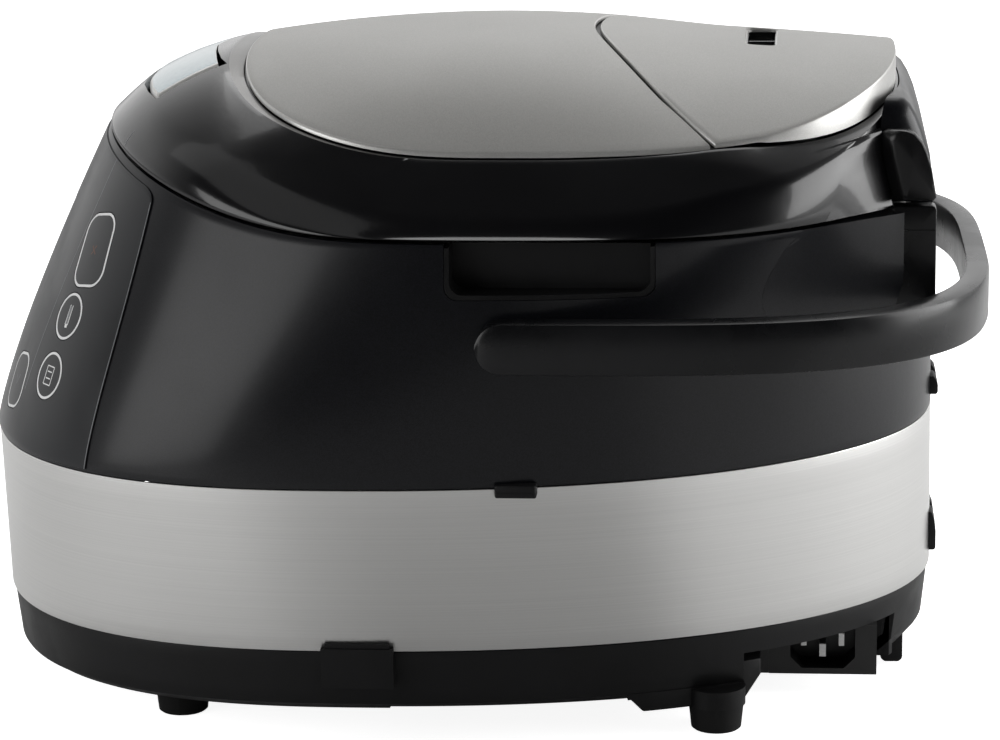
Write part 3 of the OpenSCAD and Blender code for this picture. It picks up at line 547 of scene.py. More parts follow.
housingSet = {"columns": 240, "rows": 30, "wall": 2.6, "edge": 0.5}
panelSet = {
    "columns": 120, "rows": 50, "low": 0.012, "high": 0.975, "proud": 0.6, "corner": 0.06, "edge": 0.2,
    "half": 55, "taper": 17,   # degrees either side of the front, at the foot and lost by the top
    "field": 35.8, "fieldTaper": 9.07,
}
windowSet = {"share": 0.578, "width": 78, "height": 42}
keySet = {
    "depth": 4.2, "gap": 0.22, "ring": 0.95, "rim": 0.2, "corner": 7,
    "places": [
        # node, angle, share, width, height, tilt
        ("start_key", -55.8, 0.716, 21, 28.5, 9), ("right_key_upper", -53.1, 0.494, 18, 18, 0),
        ("right_key_lower", -50.5, 0.29, 18, 18, 0), ("centre_key_right", -60.9, 0.202, 20, 21.5, 9),
        ("left_key_top", 235.8, 0.716, 21, 28.5, -9), ("left_key_upper", 233.1, 0.494, 18, 18, 0),
        ("left_key_lower", 230.5, 0.29, 18, 18, 0), ("centre_key_left", 240.9, 0.202, 20, 21.5, -9),
    ],
}
gripSet = {"front": -4, "rear": 68.8, "low": 165.6, "corner": 4.6, "inside": 122}
pivotSet = {"y": 16.7, "z": 151.2, "radius": 4}


def keyFrame(angle, share, tilt):
    # X down the panel, Y across it, Z out of it
    angle = math.radians(angle)
    out = housingNormal(angle, share)
    across = Vector((-out.y, out.x, 0)).normalized()
    down = across.cross(out)
    turn = Matrix((down, across, out)).transposed() @ Matrix.Rotation(math.radians(tilt), 3, "Z")
    place = housingPoint(angle, share) + out * panelSet["proud"]
    return Matrix.Translation(place) @ turn.to_4x4()


def keyOutline(width, height, grow):
    # round, or a rectangle with round corners and a few points along each side
    points = []
    if width == height:
        r = width / 2 + grow
        return [Vector((r * math.cos(a), r * math.sin(a), 0)) for a in (math.pi * k / 36 for k in range(72))]
    corner = keySet["corner"]
    for quarter in range(4):
        for k in range(13):
            a = math.pi / 2 * (quarter + k / 12)
            side = math.pi / 4 + math.pi / 2 * quarter
            x = math.copysign(height / 2 - corner, math.cos(side)) + (corner + grow) * math.cos(a)
            y = math.copysign(width / 2 - corner, math.sin(side)) + (corner + grow) * math.sin(a)
            points.append(Vector((x, y, 0)))
    loop = []
    for k, p in enumerate(points):
        loop.append(p)
        if k % 13 == 12:
            after = points[(k + 1) % len(points)]
            loop += [p.lerp(after, m / 5) for m in range(1, 5)]
    return loop


def keyPrism(name, spot, grow, low, high):
    angle, share, width, height, tilt = spot[1:]
    place = keyFrame(angle, share, tilt)
    outline = keyOutline(width, height, grow)
    centre = [Vector((0, 0, 0))] * len(outline)
    rings = []
    for ring, z in ((centre, low), (outline, low), (outline, high), (centre, high)):
        rings.append([place @ (p + Vector((0, 0, z))) for p in ring])
    return wrapRings(name, rings)


def windowPrism(name, grow, low, high):
    place = keyFrame(270, windowSet["share"], 0)
    half = Vector((windowSet["height"] / 2 + grow, windowSet["width"] / 2 + grow))
    piece = roundedBox(name, (-half.x, -half.y, low), (half.x, half.y, high))
    piece.data.transform(Matrix.Scale(1 / mm, 4))
    piece.data.transform(Matrix.Scale(mm, 4) @ place)
    return piece


def gripPrism(name, side):
    # the side recess, open at the parting line
    s = gripSet
    piece = roundedBox(name, (s["inside"], s["front"], s["low"]), (170, s["rear"], 200))
    setActive(piece)
    bpy.ops.object.mode_set(mode="EDIT")
    bpy.ops.mesh.select_all(action="DESELECT")
    bpy.ops.object.mode_set(mode="OBJECT")
    for edge in piece.data.edges:
        a, b = (piece.data.vertices[k].co for k in edge.vertices)
        level = max(a.z, b.z) < (s["low"] + 1) * mm
        edge.select = level and abs(a.x - b.x) > 0.01
    bpy.ops.object.mode_set(mode="EDIT")
    bpy.ops.mesh.bevel(offset=s["corner"] * mm, segments=8, affect="EDGES")
    bpy.ops.object.mode_set(mode="OBJECT")
    if side < 0:
        mirrored(piece)
    return piece


def makeHousing(s):
    turns, shares = turnsOf(s["columns"]), [j / s["rows"] for j in range(s["rows"] + 1)]
    rings = [[housingPoint(a, t) for a in turns] for t in shares]
    rings += [[housingPoint(a, t, -s["wall"]) for a in turns] for t in reversed(shares)]
    rings.append(rings[0])
    piece = wrapRings("housingShell", rings)
    bevelEdges(piece, s["edge"], 2, 50)
    cutters = [keyPrism("keyCut", spot, 0.45, -9, 8) for spot in keySet["places"]]
    cutters.append(windowPrism("windowCut", 0.3, -10, 12))
    cutters += [gripPrism("gripCut", 1), gripPrism("gripCut", -1)]
    y, z = pivotSet["y"], pivotSet["z"]
    cutters.append(cylinderAlong("pivotCut", (-165, y, z), (165, y, z), pivotSet["radius"] + 0.05))
    cutAway(piece, cutters)
    return finishPiece(piece, "body", "housing", ["upper_housing"])


def panelHalf(share):
    return panelSet["half"] - panelSet["taper"] * share ** 1.45


def panelPoint(s, across, up, grow):
    # rounded upper corners: the top edge drops close to the sides
    side = max(0, abs(2 * across - 1) - (1 - s["corner"])) / s["corner"]
    share = mix(s["low"], s["high"] - 0.03 * (1 - math.sqrt(max(0, 1 - side * side))), up)
    angle = math.radians(270 + (2 * across - 1) * panelHalf(share))
    return housingPoint(angle, share) + housingNormal(angle, share) * grow


def makePanel(s):
    def place(i, j):
        packed = 0.5 - 0.5 * math.cos(math.pi * i / s["columns"])
        return panelPoint(s, mix(i / s["columns"], packed, 0.7), j / s["rows"], s["proud"])
    piece = placedGrid("panelFilmSheet", s["columns"], s["rows"], place)
    applyModifier(piece, "SOLIDIFY", thickness=0.62 * mm, offset=-1 if facesOut(piece) else 1)
    bevelEdges(piece, s["edge"], 2, 50)
    cutters = [keyPrism("keyCut", spot, keySet["gap"], -9, 8) for spot in keySet["places"]]
    cutters.append(windowPrism("windowCut", 0.25, -10, 12))
    cutAway(piece, cutters)
    return finishPiece(piece, "body", "panel", ["front_panel"])


def ribbon(name, points, normals, width, lift, body, slot, material):
    # a thin printed line that follows a surface
    rings = []
    for k, (p, out) in enumerate(zip(points, normals)):
        ahead = points[min(k + 1, len(points) - 1)] - points[max(k - 1, 0)]
        side = out.cross(ahead).normalized() * width / 2
        low, high = p - out * 0.3, p + out * lift
        rings.append([low - side, low + side, high + side, high - side])
    piece = cappedRings(name, rings)
    return finishPiece(piece, body, slot, material=material)


def panelLine(name, steps, low, high, awayAt, width, lift):
    points, normals = [], []
    for k in range(steps + 1):
        share = mix(low, high, k / steps)
        angle = math.radians(270 + awayAt(share))
        normals.append(housingNormal(angle, share))
        points.append(housingPoint(angle, share) + normals[-1] * panelSet["proud"])
    ribbon(name, points, normals, width, lift, "body", "panel", inkAndEdgeHighlight)


def makePanelLines(s):
    # the line round the display field, and a painted highlight line along the film's edge, on both sides
    for side, word in hands:
        panelLine("fieldLine" + word, 40, 0.2, s["high"] - 0.004,
                  lambda t: side * (s["field"] - s["fieldTaper"] * t), 0.4, 0.03)
        # painted highlight: a pale grey line along the film's edge
        panelLine("filmEdgeHighlight" + word, 60, s["low"], s["high"] - 0.034, lambda t: side * (panelHalf(t) - 0.14),
                  0.32, 0.02)


def facesOut(piece):
    middle = piece.data.polygons[len(piece.data.polygons) // 2]
    return middle.normal.dot(middle.center - Vector((0, 0.03, 0.13))) > 0


def makeKey(spot):
    node, angle, share, width, height, tilt = spot
    place = keyFrame(angle, share, tilt)
    out = (place.to_3x3() @ Vector((0, 0, 1))).normalized()
    full = keyOutline(width, height, 0)
    ink = keyOutline(width, height, -keySet["rim"])
    inner = keyOutline(width, height, -keySet["rim"] - keySet["ring"])
    rings = [[place @ (p + Vector((0, 0, z))) for p in full] for z in (-keySet["depth"], -1.2)]
    faces = [(full, 1, -0.14), (ink, 1, 0), (inner, 1, 0)] + [(inner, t, 0) for t in (0.8, 0.6, 0.4, 0.2, 0.05)]
    for outline, scale, sink in faces:
        spots = [place @ (p * scale) for p in outline]
        rings.append([q + out * (surfaceDrop(q, out) + sink) for q in spots])
    piece = cappedRings(node.replace("_", "") + "Cap", rings, lambda i, j: 1 if j == 4 else 0)
    paint(piece, materials["keys"], whiteInk)
    finishPiece(piece, node, "keys", [node])
    for k, (kind, points) in enumerate(markSet.get(node, ())):
        spots = [place @ Vector((x, y, 0)) for x, y in points]
        spots = [q + out * surfaceDrop(q, out) for q in spots]
        ribbon(node.replace("_", "") + "Mark" + str(k), spots, [out] * len(spots), kind[0], 0.03, node, "keys",
               kind[1])


def surfaceDrop(point, out):
    # walk over the panel's face to the place under the point
    angle, share = math.atan2(point.y + 10, point.x), 0.5
    for _ in range(12):
        here = housingPoint(angle, share) + housingNormal(angle, share) * panelSet["proud"]
        away = point - here
        away -= out * away.dot(out)
        around = housingPoint(angle + 0.01, share) - housingPoint(angle - 0.01, share)
        up = housingPoint(angle, share + 0.01) - housingPoint(angle, share - 0.01)
        a, b, c = around.dot(around), around.dot(up), up.dot(up)
        d, e = away.dot(around), away.dot(up)
        det = a * c - b * b
        angle += (d * c - e * b) / det * 0.02
        share = min(0.97, max(0.011, share + (e * a - d * b) / det * 0.02))
    here = housingPoint(angle, share) + housingNormal(angle, share) * panelSet["proud"]
    return (here - point).dot(out)


fine, dim, warm = (0.45, whiteInk), (0.5, inkAndEdgeHighlight), (0.6, orangeInk)
markSet = {
    # strokes on the keys as (x down, y across) points
    "right_key_upper": [((1.3, inkAndEdgeHighlight), [(-3.6, -0.2), (3, 0.2)]), (fine, [(-4.2, 0.9), (3.2, 1.2)]),
                        (fine, [(-4.2, -0.8), (3.2, -0.7)]), ((1.7, whiteInk), [(2.9, 0.2), (4.3, 0.3)])],
    "right_key_lower": [(fine, [(-3.4, -2.6), (-3.4, 2.6)]), (fine, [(3.4, -2.6), (3.4, 2.6)]),
                        (fine, [(-3.4, -2.6), (3.4, -2.6)]), (fine, [(-3.4, 2.6), (3.4, 2.6)]),
                        (fine, [(-1.4, -1.6), (-1.4, 1.6)]), (fine, [(1.1, -1.6), (1.1, 1.6)])],
    "start_key": [(warm, [(-1.6, -1.6), (0.2, -0.4), (-1.6, 1.2)]),
                  (warm, [(1.7, -1.4), (0.2, 0.1), (1.7, 1.5)])],
    "left_key_top": [(warm, [(-1.7, -1.7), (1.7, 1.7)]), (warm, [(-1.7, 1.7), (1.7, -1.7)])],
    "left_key_upper": [(fine, [(-3, 0), (3, 0)]), (fine, [(0, -3), (0, 3)])],
    "left_key_lower": [(fine, [(0, -3), (0, 3)])],
    "centre_key_right": [(dim, [(-2, -2.4), (1.6, 0), (-2, 2.4)])],
    "centre_key_left": [(dim, [(2, -2.4), (-1.6, 0), (2, 2.4)])],
}


def makeWindow():
    place = keyFrame(270, windowSet["share"], 0)
    out = (place.to_3x3() @ Vector((0, 0, 1))).normalized()
    half = Vector((windowSet["height"] / 2, windowSet["width"] / 2))

    def spot(i, j):
        p = Vector((half.x * (2 * j / 24 - 1), half.y * (2 * i / 48 - 1), 0))
        q = place @ p
        return q + out * (surfaceDrop(q, out) - 0.05)
    piece = placedGrid("displayPane", 48, 24, spot)
    applyModifier(piece, "SOLIDIFY", thickness=1.6 * mm, offset=-1 if facesOut(piece) else 1)
    bevelEdges(piece, 0.25, 2, 50)
    return finishPiece(piece, "body", "display", ["display_window"])


makeHousing(housingSet)
makePanel(panelSet)
for spot in keySet["places"]:
    makeKey(spot)
makeWindow()
makePanelLines(panelSet)
print("housing, panel and keys made")

bandSet = {"columns": 240, "thickness": 1.0, "roll": 0.35}
baseSet = {"columns": 240, "wall": 2.6, "floor": 15, "seat": 36.7, "vents": (62, -74),
           "tier": ((-150, -28.5, 5), (150, 57, 12.4))}
hoodSet = {
    # boxes round the appliance inlet, each from its low corner to its high one
    "pocket": ((50, 99, -5), (150, 155, 27.5)), "hood": ((47.4, 96.4, 10.6), (150, 157.6, 30)),
    "inside": ((50, 99, -5), (160, 155, 27.5)), "plate": ((50.2, 99.2, 8.3), (65.95, 107.68, 27.3)),
}


def makeBand(s):
    low, top = heights["bandLow"], heights["bandTop"] - 0.3
    n = s["columns"]

    def ring(share, grow):
        z = mix(low, top, share)
        a, b = ringAt(bodyLow, grow, z, n), ringAt(bodyTop, grow, z, n)
        return [p.lerp(q, share) for p, q in zip(a, b)]
    rings = [ring(j / 8, -0.1) for j in range(9)]
    rings += [ring(j / 8, -0.1 - s["thickness"]) for j in range(8, -1, -1)]
    rings.append(rings[0])
    piece = wrapRings("bandWrap", rings)
    bevelEdges(piece, s["roll"], 3, 60)
    return finishPiece(piece, "body", "brushed_band", ["steel_band"])


def ringsBetween(low, high, steps=4):
    return [[a.lerp(b, k / steps) for a, b in zip(low, high)] for k in range(1, steps + 1)]


def makeBase(s):
    n = s["columns"]
    centre = [Vector((0, 0, 10))] * n
    inside = [Vector((0, 0, s["floor"]))] * n
    edge, shoulder = ringAt(baseLow, 0, 10.6, n), ringAt(baseMid, 0, 17.4, n)
    rings = [centre, ringAt(baseLow, -6, 10, n), ringAt(baseLow, -1.2, 10, n), edge]
    rings += ringsBetween(edge, ringAt(baseMid, -0.6, 16.4, n)) + [shoulder]
    rings += ringsBetween(shoulder, ringAt(bodyLow, -0.9, s["seat"], n))
    rings += [ringAt(bodyLow, -0.9 - s["wall"], s["seat"], n), ringAt(baseMid, -s["wall"], 19, n),
              ringAt(baseLow, -s["wall"], s["floor"], n), inside]
    piece = wrapRings("basePan", rings)
    bevelEdges(piece, 0.5, 2, 50)
    cutters = [roundedBox("pocketCut", *hoodSet["pocket"]), roundedBox("tierCut", *s["tier"])]
    for x in range(-42, 43, 12):
        for y in s["vents"]:
            cutters.append(roundedBox("ventCut", (x - 2, y, 5), (x + 2, y + 30, 20)))
    cutAway(piece, cutters)
    return finishPiece(piece, "body", "base_plastic", ["base_tub"])


clipSet = {"x": 145.4, "inner": 136, "y": (13.0, 27.6)}
padSet = {"x": (4, 15), "back": 166, "face": 171, "upper": (103.5, 7), "lower": (42, 15)}    # low edge, height
footSet = {
    "front": (92, -109), "rear": (103.5, 89), "boss": 11.5, "collar": 10.6, "low": 9.3, "screw": 1.6,
    "flange": [(-26, 9.3), (10, 9.3), (16, 18), (16, 24), (-33, 24), (-33, 17)],   # from the foot's y, and z
    "heel": [(150, 3), (151.5, 1.6), (157, 1.6), (158.4, 3), (158.4, 15.6), (157.6, 17), (150, 17)],
}


def columnPrism(grow):
    # everything inside the outline where the base's side begins
    return cappedRings("column", [ringAt(baseMid, grow, z, 200) for z in (5, 34)])


def makeFootBosses(s):
    for side, word in hands:
        x, y = s["front"]
        boss = cylinderAlong("footCollar" + word, (side * x, y, s["low"]), (side * x, y, 17.3), s["boss"])
        bevelEdges(boss, 0.6, 2)
        cutAway(boss, [cylinderAlong("screwCut", (side * x, y, 5), (side * x, y, 30), s["screw"], 24)])
        finishPiece(boss, "body", "base_plastic")
        x, y = s["rear"]
        flange = extruded("footFlange" + word, [(y + out, z) for out, z in s["flange"]], 86, 130)
        cutAway(flange, [columnPrism(-0.6)], "INTERSECT")
        bevelEdges(flange, 0.7, 2, 40)
        cutAway(flange, [cylinderAlong("collar", (x, y, s["low"]), (x, y, 16), s["collar"])], "UNION")
        if side < 0:
            mirrored(flange)
        cutAway(flange, [cylinderAlong("screwCut", (side * x, y, 5), (side * x, y, 40), s["screw"], 24)])
        finishPiece(flange, "body", "base_plastic")
    finishPiece(extruded("heelBlock", s["heel"], -30, 30, 0.8), "body", "base_plastic")


def makeInletHood(s):
    # walls and roof of the recess that the inlet stands in
    hood = roundedBox("inletHood", *s["hood"])
    cutAway(hood, [columnPrism(-0.6)], "INTERSECT")
    bevelEdges(hood, 0.6, 2, 40)
    cutAway(hood, [roundedBox("hoodCut", *s["inside"])])
    finishPiece(hood, "body", "base_plastic")
    finishPiece(roundedBox("inletPlate", *s["plate"]), "body", "inlet_plastic")


def makeClips(s):
    # small catches over the upper edge of the band
    top, (y0, y1) = heights["bandTop"], s["y"]
    for side, word in hands:
        low = roundedBox("clipFoot", (s["inner"], y0, top - 3.3), (s["x"] - 0.5, y1, top + 1.5), 0.8)
        tab = roundedBox("bandClip" + word, (s["inner"], y0 + 0.3, top - 1.2),
                         (s["x"], y1 - 0.3, top + 1.5), 0.5)
        cutAway(tab, [low], "UNION")
        cutAway(tab, [bodyPrism(0.1), bandPrism(0.05)])
        if side < 0:
            mirrored(tab)
        finishPiece(tab, "body", "base_plastic", ["band_clips"] if side < 0 else ())


def makeBumpers(s):
    # spacers on the rear: round-backed above, longer below
    face = s["face"]
    for word, (z, tall) in (("Upper", s["upper"]), ("Lower", s["lower"])):
        profile = [(s["back"], z), (face - 0.6, z), (face, z + 0.8), (face, z + tall * 0.5),
                   (face - 0.5, z + tall * 0.8), (face - 1.6, z + tall), (s["back"], z + tall)]
        for side, hand in hands:
            pad = extruded("rearPad" + word + hand, profile, *s["x"], 0.4)
            cutAway(pad, [bodyPrism(0.1), bandPrism(0.05)])
            if side < 0:
                mirrored(pad)
            finishPiece(pad, "body", "base_plastic", ["rear_bumpers"] if word == "Lower" and side < 0 else ())


def bodyPrism(grow):
    # everything inside the housing's outer face
    rings = [[housingPoint(a, t, grow) for a in turnsOf(200)] for t in (0, 0.3, 0.6, 0.8, 1)]
    return cappedRings("bodyPrism", rings)


def bandPrism(grow):
    # everything inside the band's outer face
    return cappedRings("bandPrism", [ringAt(bodyLow, grow, heights["bandLow"], 200),
                                     ringAt(bodyTop, grow, heights["bandTop"] + 0.01, 200)])


makeBand(bandSet)
makeBase(baseSet)
makeFootBosses(footSet)
makeInletHood(hoodSet)
makeClips(clipSet)
makeBumpers(padSet)
print("band and base made")

bailSet = {"width": 307, "reach": 171.7, "height": 18.5, "thickness": 8.6, "power": 3.5, "bevel": 2.4,
           "soft": 1.0, "steps": 150}


def bailPath(s, angle, inset):
    r = superRadius(s["width"] / 2 - inset, s["reach"] - inset, s["power"], angle)
    return Vector((r * math.cos(angle), pivotSet["y"] + r * math.sin(angle), 0))


def bailSection(s, outer, inner, half):
    # across the strap: flat inner face, rounded edges, a wider bevel on the upper outer edge
    t = s["thickness"]
    soft = min(s["soft"], half * 0.5)
    wide = min(s["bevel"], half * 0.7)
    marks = [(0, -half + soft), (soft * 0.3, -half + soft * 0.3), (soft, -half), (t - soft, -half),
             (t - soft * 0.3, -half + soft * 0.3), (t, -half + soft), (t, half - wide),
             (t - wide * 0.25, half - wide * 0.3), (t - wide, half), (soft, half),
             (soft * 0.3, half - soft * 0.3), (0, half - soft)]
    return [inner.lerp(outer, d / t) + Vector((0, 0, pivotSet["z"] + z)) for d, z in marks]


def makeHandle(s):
    radius, y, z = s["height"] / 2, pivotSet["y"], pivotSet["z"]

    def endRings(side):
        # the half round in front of a pivot, drawn as rings of growing height
        made = []
        for c in (0.02, 0.12, 0.25, 0.4, 0.55, 0.7, 0.84, 0.94):
            front = y - radius * math.sqrt(1 - c * c)
            outer = Vector((side * s["width"] / 2, front, 0))
            inner = Vector((side * (s["width"] / 2 - s["thickness"]), front, 0))
            made.append(bailSection(s, outer, inner, radius * c))
        return made
    rings = endRings(1)
    for k in range(s["steps"] + 1):
        angle = math.pi * k / s["steps"]
        rings.append(bailSection(s, bailPath(s, angle, 0), bailPath(s, angle, s["thickness"]), radius))
    rings += reversed(endRings(-1))
    piece = cappedRings("handleStrap", rings)
    bores = [cylinderAlong("boreCut", (side * 140, y, z), (side * 150.6, y, z), pivotSet["radius"] + 0.1)
             for side in (1, -1)]
    cutAway(piece, bores)
    return finishPiece(piece, "handle", "handle", ["bail_handle"], shade=40)


makeHandle(bailSet)
print("handle made")

lidSet = {"columns": 288, "wall": 2.6, "edgeShare": 0.3, "lip": 0.3, "bezel": 0.87, "sideBezel": 0.05,
          "lineAway": 27.8, "lineShares": (0.006, 0.085)}
latchSet = {
    "middle": (0, -115, 228), "tilt": 26, "gap": 0.8,
    "front": [(0, -13.3), (30, -11.4), (48, -7.2), (59, -3)],   # half of each edge, x and y
    "rear": [(0, 12.8), (19, 15.6), (36, 19), (44, 21)], "centre": (0, 2.5),
}
plateSet = {"inset": 0.6, "thickness": 1.4, "centre": (0, -8), "gap": 2.0, "bed": 2.3}
coverSet = {"inset": 1.2, "thickness": 1.6, "centre": (0, 108), "arc": 135, "arcMiddle": 178,
            "vent": ((-24, 97.5), (24, 109.5)), "ribs": (-9, 9)}


def edgeRise(share, limit):
    return 1 if share >= limit else math.sqrt(1 - (1 - share / limit) ** 2)


def rimPoint(angle, share, grow):
    low = eggPoint(seamEgg, grow, angle)
    high = eggPoint(openEgg, grow, angle)
    q = low.lerp(high, share)
    z0 = seamAt(low.y)
    z1 = crownAt(q.x, q.y) - stepAt(q.y)
    rise = edgeRise(share, lidSet["edgeShare"])
    return Vector((q.x, q.y, z0 + (max(z1, z0 + 1) - z0) * rise + grow * rise))


def bezelShare(angle):
    # the pale ring round the opening is wide at the front and narrow along the sides
    front = max(0, -math.sin(angle))
    return 1 - mix(lidSet["sideBezel"], 1 - lidSet["bezel"], front ** 2)


def latchPoint(x, y, z=0):
    # a place on the tilted latch frame
    t = math.radians(latchSet["tilt"])
    cx, cy, cz = latchSet["middle"]
    return Vector((cx + x, cy + y * math.cos(t) - z * math.sin(t), cz + y * math.sin(t) + z * math.cos(t)))


def latchOutline(grow):
    # front edge to the right, round the slanted end, rear edge to the left
    s = latchSet
    front = [(x, y - grow) for x, y in s["front"]]
    rear = [(x, y + grow) for x, y in s["rear"]]
    front[-1] = (front[-1][0] + grow, front[-1][1] - grow * 0.4)
    rear[-1] = (rear[-1][0] + grow * 0.6, rear[-1][1] + grow)
    slant = [(front[-1][0] + 0.3, front[-1][1] + 1.2), (rear[-1][0] + 0.9, rear[-1][1] - 1.2)]
    half = front + slant + rear[::-1]
    loop = []
    for (xa, ya), (xb, yb) in zip(half, half[1:]):
        loop += [(mix(xa, xb, k / 8), mix(ya, yb, k / 8)) for k in range(8)]
    loop.append(half[-1])
    return loop + [(-x, y) for x, y in reversed(loop[1:-1])]


def latchCutter(grow):
    loop = latchOutline(grow)
    return cappedRings("latchCut", [[latchPoint(x, y, z) for x, y in loop] for z in (-30, 25)])


def makeLidFrame(s):
    turns = turnsOf(s["columns"])
    # close steps over the rounded shoulder, even ones above it
    steps = [0, 0.006, 0.015, 0.03, 0.05, 0.075, 0.105, 0.14, 0.18, 0.23, 0.3]
    steps += [0.3 + 0.7 * k / 14 for k in range(1, 14)]
    rings = [[rimPoint(a, mix(0, bezelShare(a), t), 0) for a in turns] for t in steps]
    rings.append([rimPoint(a, bezelShare(a), 0) for a in turns])
    mark = len(rings)
    # the ring itself tips towards the opening
    for t, fall in ((0.06, 0.12), (0.5, 0.75), (0.94, 1.45), (1, 1.75)):
        rings.append([rimPoint(a, mix(bezelShare(a), 1, t), 0) - Vector((0, 0, fall)) for a in turns])
    rings.append([rimPoint(a, 1, 0) - Vector((0, 0, 3.2)) for a in turns])
    rings += [[rimPoint(a, t, -s["wall"]) for a in turns] for t in reversed(steps[:-1])]
    rings.append(rings[0])
    piece = wrapRings("lidFrame", rings, lambda i, j: 1 if mark - 1 <= j < mark + 4 else 0)
    paint(piece, materials["lid_gloss"], bezelGrey)
    bevelEdges(piece, s["lip"], 2, 60)
    cutAway(piece, [latchCutter(latchSet["gap"])])
    return finishPiece(piece, "lid", "lid_gloss", ["lid_shell"])


def hornAngle(inset, radius):
    # where the opening's outline crosses the arc in front of the steam cover
    low, high = math.radians(20), math.radians(60)
    for _ in range(40):
        middle = (low + high) / 2
        q = eggPoint(openEgg, -inset, middle)
        if math.hypot(q.x, coverSet["arcMiddle"] - q.y) > radius:
            low = middle
        else:
            high = middle
    return middle


def arcPoint(angle, radius):
    return Vector((radius * math.sin(angle), coverSet["arcMiddle"] - radius * math.cos(angle)))


def arcEnd(inset, radius):
    q = eggPoint(openEgg, -inset, hornAngle(inset, radius))
    return math.atan2(q.x, coverSet["arcMiddle"] - q.y)


def plateLoop(inset, radius, count=220, arcCount=100):
    h, turn = hornAngle(inset, radius), arcEnd(inset, radius)
    loop = [eggPoint(openEgg, -inset, math.pi - h + k * (math.pi + 2 * h) / count) for k in range(count + 1)]
    return loop + [arcPoint(turn - 2 * turn * k / arcCount, radius) for k in range(1, arcCount)]


def coverGrow(inset, angle):
    return -inset + (inset + 0.2) * min(1, stepAt(eggPoint(openEgg, 0, angle).y) / 3)


def coverLoop(inset, radius, count=180, arcCount=110):
    h, turn = hornAngle(inset, radius), arcEnd(inset, radius)
    loop = []
    for k in range(count + 1):
        angle = h + k * (math.pi - 2 * h) / count
        loop.append(eggPoint(openEgg, coverGrow(inset, angle), angle))
    return loop + [arcPoint(2 * turn * k / arcCount - turn, radius) for k in range(1, arcCount)]


def crownedPlate(name, loop, centre, thickness, skirt, bevel, sink=0):
    # a plate on the crown; its skirt, if any, stops just above the stepped rim
    c = Vector(centre)
    scales = [0.01] + [0.04 + 0.93 * k / 30 for k in range(31)]

    def ring(scale, drop):
        spots = [c + (p - c) * scale for p in loop]
        return [Vector((*q, crownAt(*q) - sink - (drop(q) if callable(drop) else drop))) for q in spots]

    def skirtDrop(q):
        return max(thickness, skirt * (stepAt(q.y) - 0.7))
    rings = [ring(t, thickness) for t in scales]
    if skirt:
        rings.append(ring(0.982, skirtDrop))
    mark = len(rings)
    rings += [ring(1, skirtDrop), ring(1, bevel), ring(0.9975, bevel * 0.3), ring(0.994, 0)]
    rings += [ring(t, 0) for t in reversed(scales)]
    # the skirt and the edge rings take the painted highlight
    piece = cappedRings(name, rings, lambda i, j: 1 if mark <= j < mark + 4 else 0)
    paint(piece, materials["silver"], paintedEdgeHighlight)
    return piece


def makeLidPlate(s):
    loop = plateLoop(s["inset"], coverSet["arc"] + s["gap"])
    piece = crownedPlate("lidPlate", loop, s["centre"], s["thickness"], 0, 0.5)
    # a dark bed closes the gap round the plate
    bed = crownedPlate("lidBed", plateLoop(0.1, coverSet["arc"] + 5.5), s["centre"], 0.8, 0, 0.1, s["bed"])
    bed.data.materials.clear()
    finishPiece(bed, "lid", "lid_gloss")
    return finishPiece(piece, "lid", "silver", ["lid_insert"])


def makeGrooveBed():
    # dark bottom of the groove between the insert and the steam cover
    turn = arcEnd(2, coverSet["arc"])
    rings = []
    for k in range(81):
        a = mix(-turn, turn, k / 80)
        inner, outer = arcPoint(a, coverSet["arc"] - 4), arcPoint(a, coverSet["arc"] + 6)
        rings.append([Vector((q.x, q.y, crownAt(q.x, q.y) - d))
                      for q, d in ((inner, 3.4), (outer, 3.4), (outer, 1.9), (inner, 1.9))])
    piece = cappedRings("grooveBed", rings)
    return finishPiece(piece, "lid", "base_plastic")


def makeSteamCover(s):
    loop = coverLoop(s["inset"], s["arc"])
    piece = crownedPlate("steamLid", loop, s["centre"], s["thickness"], 1, 0.7)
    (x0, y0), (x1, y1) = s["vent"]

    def slotBox(name, growX, growY, low, high, bevel, segments=3):
        return roundedBox(name, (x0 - growX, y0 - growY, low), (x1 + growX, y1 + growY, high), bevel, segments)
    cutAway(piece, [slotBox("ventCut", 0, 0, 225, 255, 3.2, 5)])
    finishPiece(piece, "steam_cover", "silver", ["steam_cover"])
    # glossy cup under the slot with a thin rim painted pale as a highlight, and two ribs
    top = crownAt(0, (y0 + y1) / 2)
    rim = slotBox("ventRim", 0.7, 0.7, top - 3, top - 1.2, 0.3)
    cutAway(rim, [slotBox("rimCut", -0.5, -0.5, top - 9, top + 3, 2.6, 4)])
    finishPiece(rim, "steam_cover", "silver", material=paintedEdgeHighlight)
    cup = slotBox("ventCup", 0.8, 0.8, top - 7.5, top - 2, 0.4)
    cutAway(cup, [slotBox("cupCut", -1, -0.9, top - 6.6, top + 3, 2, 4)])
    finishPiece(cup, "steam_cover", "lid_gloss")
    for k, x in enumerate(s["ribs"]):
        rib = roundedBox("ventRib" + "AB"[k], (x - 1.1, y0 + 0.4, top - 6.8),
                         (x + 1.1, y1 - 0.4, top - 3.6), 0.7)
        finishPiece(rib, "steam_cover", "lid_gloss")


def makeLatchButton(s):
    loop = latchOutline(0)
    middle = s["centre"]

    def ring(scale, sink):
        spots = [latchPoint(mix(middle[0], x, scale), mix(middle[1], y, scale)) for x, y in loop]
        return [Vector((q.x, q.y, crownAt(q.x, q.y) - sink)) for q in spots]
    rings = [ring(0.95, 4.4), ring(0.99, 4.4), ring(0.99, 1.3), ring(0.955, 0.1), ring(0.93, 0)]
    rings += [ring(t, 0) for t in (0.8, 0.6, 0.4, 0.2, 0.03)]
    # the chamfer rings take the painted highlight
    piece = cappedRings("latchPlate", rings, lambda i, j: 1 if j in (3, 4) else 0)
    paint(piece, materials["latch_silver"], paintedEdgeHighlight)
    return finishPiece(piece, "latch", "latch_silver", ["latch_button"], shade=25)


